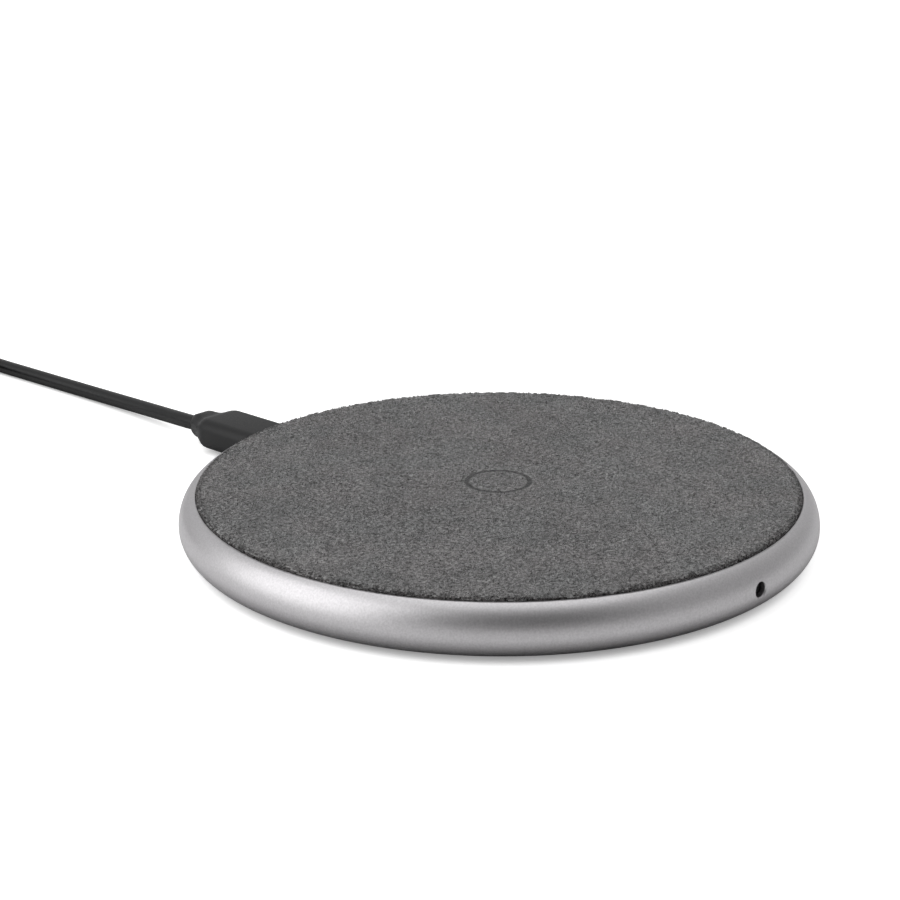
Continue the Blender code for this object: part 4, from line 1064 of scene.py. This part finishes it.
class PAD_OT_suede(bpy.types.Operator):
    """Build the suede disc with its rolled, napped edge"""

    bl_idname = "pad.suede"
    bl_label = "Suede top"

    def execute(self, context):
        sizes = context.scene.pad_sizes
        radius = COVER_SIZE.x / 2
        cloth = self.add_cloth(radius, sizes)
        fringe = self.add_fringe(radius, sizes)
        naps = self.add_nap(radius, sizes)
        dress("cover_adhesive", "top_plate")
        return {"FINISHED"}

    def add_cloth(self, radius, sizes):
        edge = sizes.cloth_edge
        top, bottom = COVER_HIGH.z, COVER_LOW.z
        cells = 256
        bm = bmesh.new()
        bmesh.ops.create_grid(bm, x_segments=cells, y_segments=cells, size=1.0)
        for vert in bm.verts:
            x, y = disc_point(vert.co.x, vert.co.y)
            x, y = x * (radius - edge), y * (radius - edge)
            vert.co = (x, y, top + cloth_height(x, y, sizes.mark_radius))
        rim = [item for item in bm.edges if item.is_boundary]
        # Angles round the rolled edge, then the cut side down to the bottom
        for angle in [math.pi / 2 * step / EDGE_STEPS for step in range(1, EDGE_STEPS + 1)] + [None]:
            made = bmesh.ops.extrude_edge_only(bm, edges=rim)["geom"]
            verts = [item for item in made if isinstance(item, bmesh.types.BMVert)]
            fresh = set(verts)
            rim = [
                item for item in made
                if isinstance(item, bmesh.types.BMEdge) and item.verts[0] in fresh
                and item.verts[1] in fresh
            ]
            for vert in verts:
                bearing = math.atan2(vert.co.y, vert.co.x)
                around = Vector((math.cos(bearing), math.sin(bearing), 0))
                if angle is None:
                    place = around * (radius - 0.08 * MM)
                    height = bottom
                else:
                    rough = noise.noise(around * 38 + Vector((0, 0, 3 * angle))) * 0.12
                    rough += noise.noise(around * 110 + Vector((0, 0, 5 * angle))) * 0.12
                    out = (edge + 0.1 * MM + rough * MM) * math.sin(angle)
                    place = around * min(radius - edge + out, radius + EDGE_SPREAD)
                    height = top - edge * (1 - math.cos(angle)) + (rough * 0.8 - 0.05) * MM
                vert.co = (place.x, place.y, height)
        bmesh.ops.contextual_create(bm, geom=rim)
        bmesh.ops.recalc_face_normals(bm, faces=bm.faces)
        cloth = add_piece("suede_disc", bm, "pad", "suede", ("suede_cover",), sharp=80.0)
        # The face keeps the brushed finish, and the side takes the cut edge's, with its painted shade
        cloth.data.materials.append(finish("painted_shade_cut_edge"))
        for face in cloth.data.polygons:
            middle = face.center
            if face.normal.z < 0.72 and math.hypot(middle.x, middle.y) > radius - 1.2 * edge:
                face.material_index = 1
        return cloth

    def add_fringe(self, radius, sizes):
        """Cut fibres round the rolled edge."""
        draw = random.Random(11)
        bm = bmesh.new()
        edge = sizes.cloth_edge
        for _ in range(TUFTS):
            tuft = draw.uniform(0, 2 * math.pi)
            twist = draw.uniform(-0.5, 0.5)
            for _ in range(TUFT_FIBRES):
                bearing = tuft + draw.gauss(0, 0.002)
                tilt = draw.uniform(0.05, 1.5)
                out = Vector((math.cos(bearing), math.sin(bearing), 0))
                along = Vector((-out.y, out.x, 0)) * twist
                root = out * (radius - edge + (edge - 0.02 * MM) * math.sin(tilt))
                root.z = COVER_HIGH.z - edge * (1 - math.cos(tilt)) - 0.1 * MM
                away = out * math.sin(tilt * 0.6) + Vector((0, 0, math.cos(tilt * 0.6))) + along
                length = sizes.nap_length * draw.uniform(0.6, 1.15)
                self.add_fibre(bm, draw, root, away.normalized(), length)
        return add_piece("suede_fringe", bm, "pad", "suede", material="nap", sharp=180.0)

    def add_nap(self, radius, sizes):
        """Short leaning fibres over the whole face, in pieces of a modest size."""
        draw = random.Random(23)
        pieces = []
        for part in range(NAP_PIECES):
            bm = bmesh.new()
            for _ in range(NAP_FIBRES):
                away = (radius - 0.4 * MM) * math.sqrt(draw.random())
                bearing = draw.uniform(0, 2 * math.pi)
                if abs(away - sizes.mark_radius) < 0.7 * MM:
                    continue
                x, y = away * math.cos(bearing), away * math.sin(bearing)
                root = Vector((x, y, 0))
                lay = noise.noise(root / (8 * MM)) * 2.5 + draw.uniform(-1.2, 1.2)
                lean = draw.uniform(0.15, 0.95)
                flat = Vector((math.cos(lay), math.sin(lay), 0)) * math.sin(lean)
                up = flat + Vector((0, 0, math.cos(lean)))
                root.z = COVER_HIGH.z + cloth_height(x, y, sizes.mark_radius) - 0.03 * MM
                self.add_fibre(bm, draw, root, up, sizes.nap_length * draw.uniform(0.55, 1.0))
            name = f"suede_nap_{part + 1}"
            pieces.append(add_piece(name, bm, "pad", "suede", material="nap", sharp=180.0))
        return pieces

    def add_fibre(self, bm, draw, root, away, length):
        """One flat fibre that narrows to its tip and bends over, drawn several times coarser than
        microfibre so that it shows."""
        across = away.cross(Vector((draw.uniform(-1, 1), draw.uniform(-1, 1), 0.4)))
        across = across.normalized() * draw.uniform(0.03, 0.055) * MM
        middle = root + away * length * 0.55
        bend = Vector((draw.uniform(-0.6, 0.6), draw.uniform(-0.6, 0.6), -0.35))
        tip = middle + (away + bend) * length * 0.45
        foot = [bm.verts.new(root - across), bm.verts.new(root + across)]
        waist = [bm.verts.new(middle + across * 0.8), bm.verts.new(middle - across * 0.8)]
        bm.faces.new((foot[0], foot[1], waist[0], waist[1]))
        bm.faces.new((waist[1], waist[0], bm.verts.new(tip)))


class PAD_OT_base(bpy.types.Operator):
    """Finish the base plate and build the non-slip foot ring"""

    bl_idname = "pad.base"
    bl_label = "Base and foot"

    def execute(self, context):
        outer = FOOT_SIZE.x / 2
        inner = outer - FOOT_WIDTH
        low, top = FOOT_LOW.z, FOOT_HIGH.z
        edge = 0.25 * MM
        outline = arc((outer - edge, low + edge), (edge, edge), 0, -math.pi / 2, 5)
        outline += arc((inner + edge, low + edge), (edge, edge), -math.pi / 2, -math.pi, 5)
        outline += [(inner, top), (outer, top)]
        foot = turned(outline, 192)
        add_piece("foot", foot, "pad", "silicone", ("foot_ring",))
        dress("base_plate", *(f"case_screw_{index}" for index in range(1, 5)))
        return {"FINISHED"}


class PAD_OT_inside(bpy.types.Operator):
    """Finish the coil, the board and the parts on it"""

    bl_idname = "pad.inside"
    bl_label = "Parts inside"

    def execute(self, context):
        dress(*NODE_FINISH)
        return {"FINISHED"}


# The finish of every CAD node that keeps its own shape
NODE_FINISH = {
    "cover_adhesive": "adhesive", "top_plate": "moulding", "base_plate": "moulding",
    "circuit_board": "laminate", "controller_chip": "chip", "bridge_chip": "chip",
    "power_inductor": "chip", "status_led": "lens", "transmit_coil": "copper",
    "coil_lead_inner": "copper", "coil_lead_outer": "copper", "ferrite_disc": "ferrite",
    "coil_spacer": "foam", "thermistor": "lens", "usb_receptacle_shell": "steel",
    "usb_receptacle_tongue": "moulding", "plug_contact_block": "moulding", "plug_board": "laminate",
    "far_contact_block": "moulding",
}
for kind, count, slot in (
    ("case_screw", 4, "steel"), ("board_screw", 3, "steel"), ("resonant_capacitor", 4, "capacitor"),
    ("input_capacitor", 2, "capacitor"), ("far_contact", 4, "gold"),
):
    NODE_FINISH.update({f"{kind}_{index}": slot for index in range(1, count + 1)})


class PAD_PT_panel(bpy.types.Panel):
    """Lists the pad's pieces and settings"""

    bl_idname = "PAD_PT_panel"
    bl_label = "Charging Pad"
    bl_space_type = "VIEW_3D"
    bl_region_type = "UI"
    bl_category = "Charging Pad"

    def draw(self, context):
        layout = self.layout
        for group in (context.scene.pad_sizes, context.scene.pad_colours, context.scene.pad_studio):
            box = layout.box()
            for name in group.__annotations__:
                box.prop(group, name)
        for operator in OPERATORS:
            layout.operator(operator.bl_idname)


OPERATORS = (
    PAD_OT_studio, PAD_OT_lead, PAD_OT_plug, PAD_OT_ring, PAD_OT_suede, PAD_OT_base, PAD_OT_inside,
)
CLASSES = (PadSizes, PadColours, StudioView, *OPERATORS, PAD_PT_panel)


def register():
    for item in CLASSES:
        bpy.utils.register_class(item)
    bpy.types.Scene.pad_sizes = PointerProperty(type=PadSizes)
    bpy.types.Scene.pad_colours = PointerProperty(type=PadColours)
    bpy.types.Scene.pad_studio = PointerProperty(type=StudioView)


def unregister():
    for name in ("pad_sizes", "pad_colours", "pad_studio"):
        delattr(bpy.types.Scene, name)
    for item in reversed(CLASSES):
        bpy.utils.unregister_class(item)


def main():
    register()
    for step in ("studio", "lead", "plug", "ring", "suede", "base", "inside"):
        getattr(bpy.ops.pad, step)()


if __name__ == "__main__":
    main()
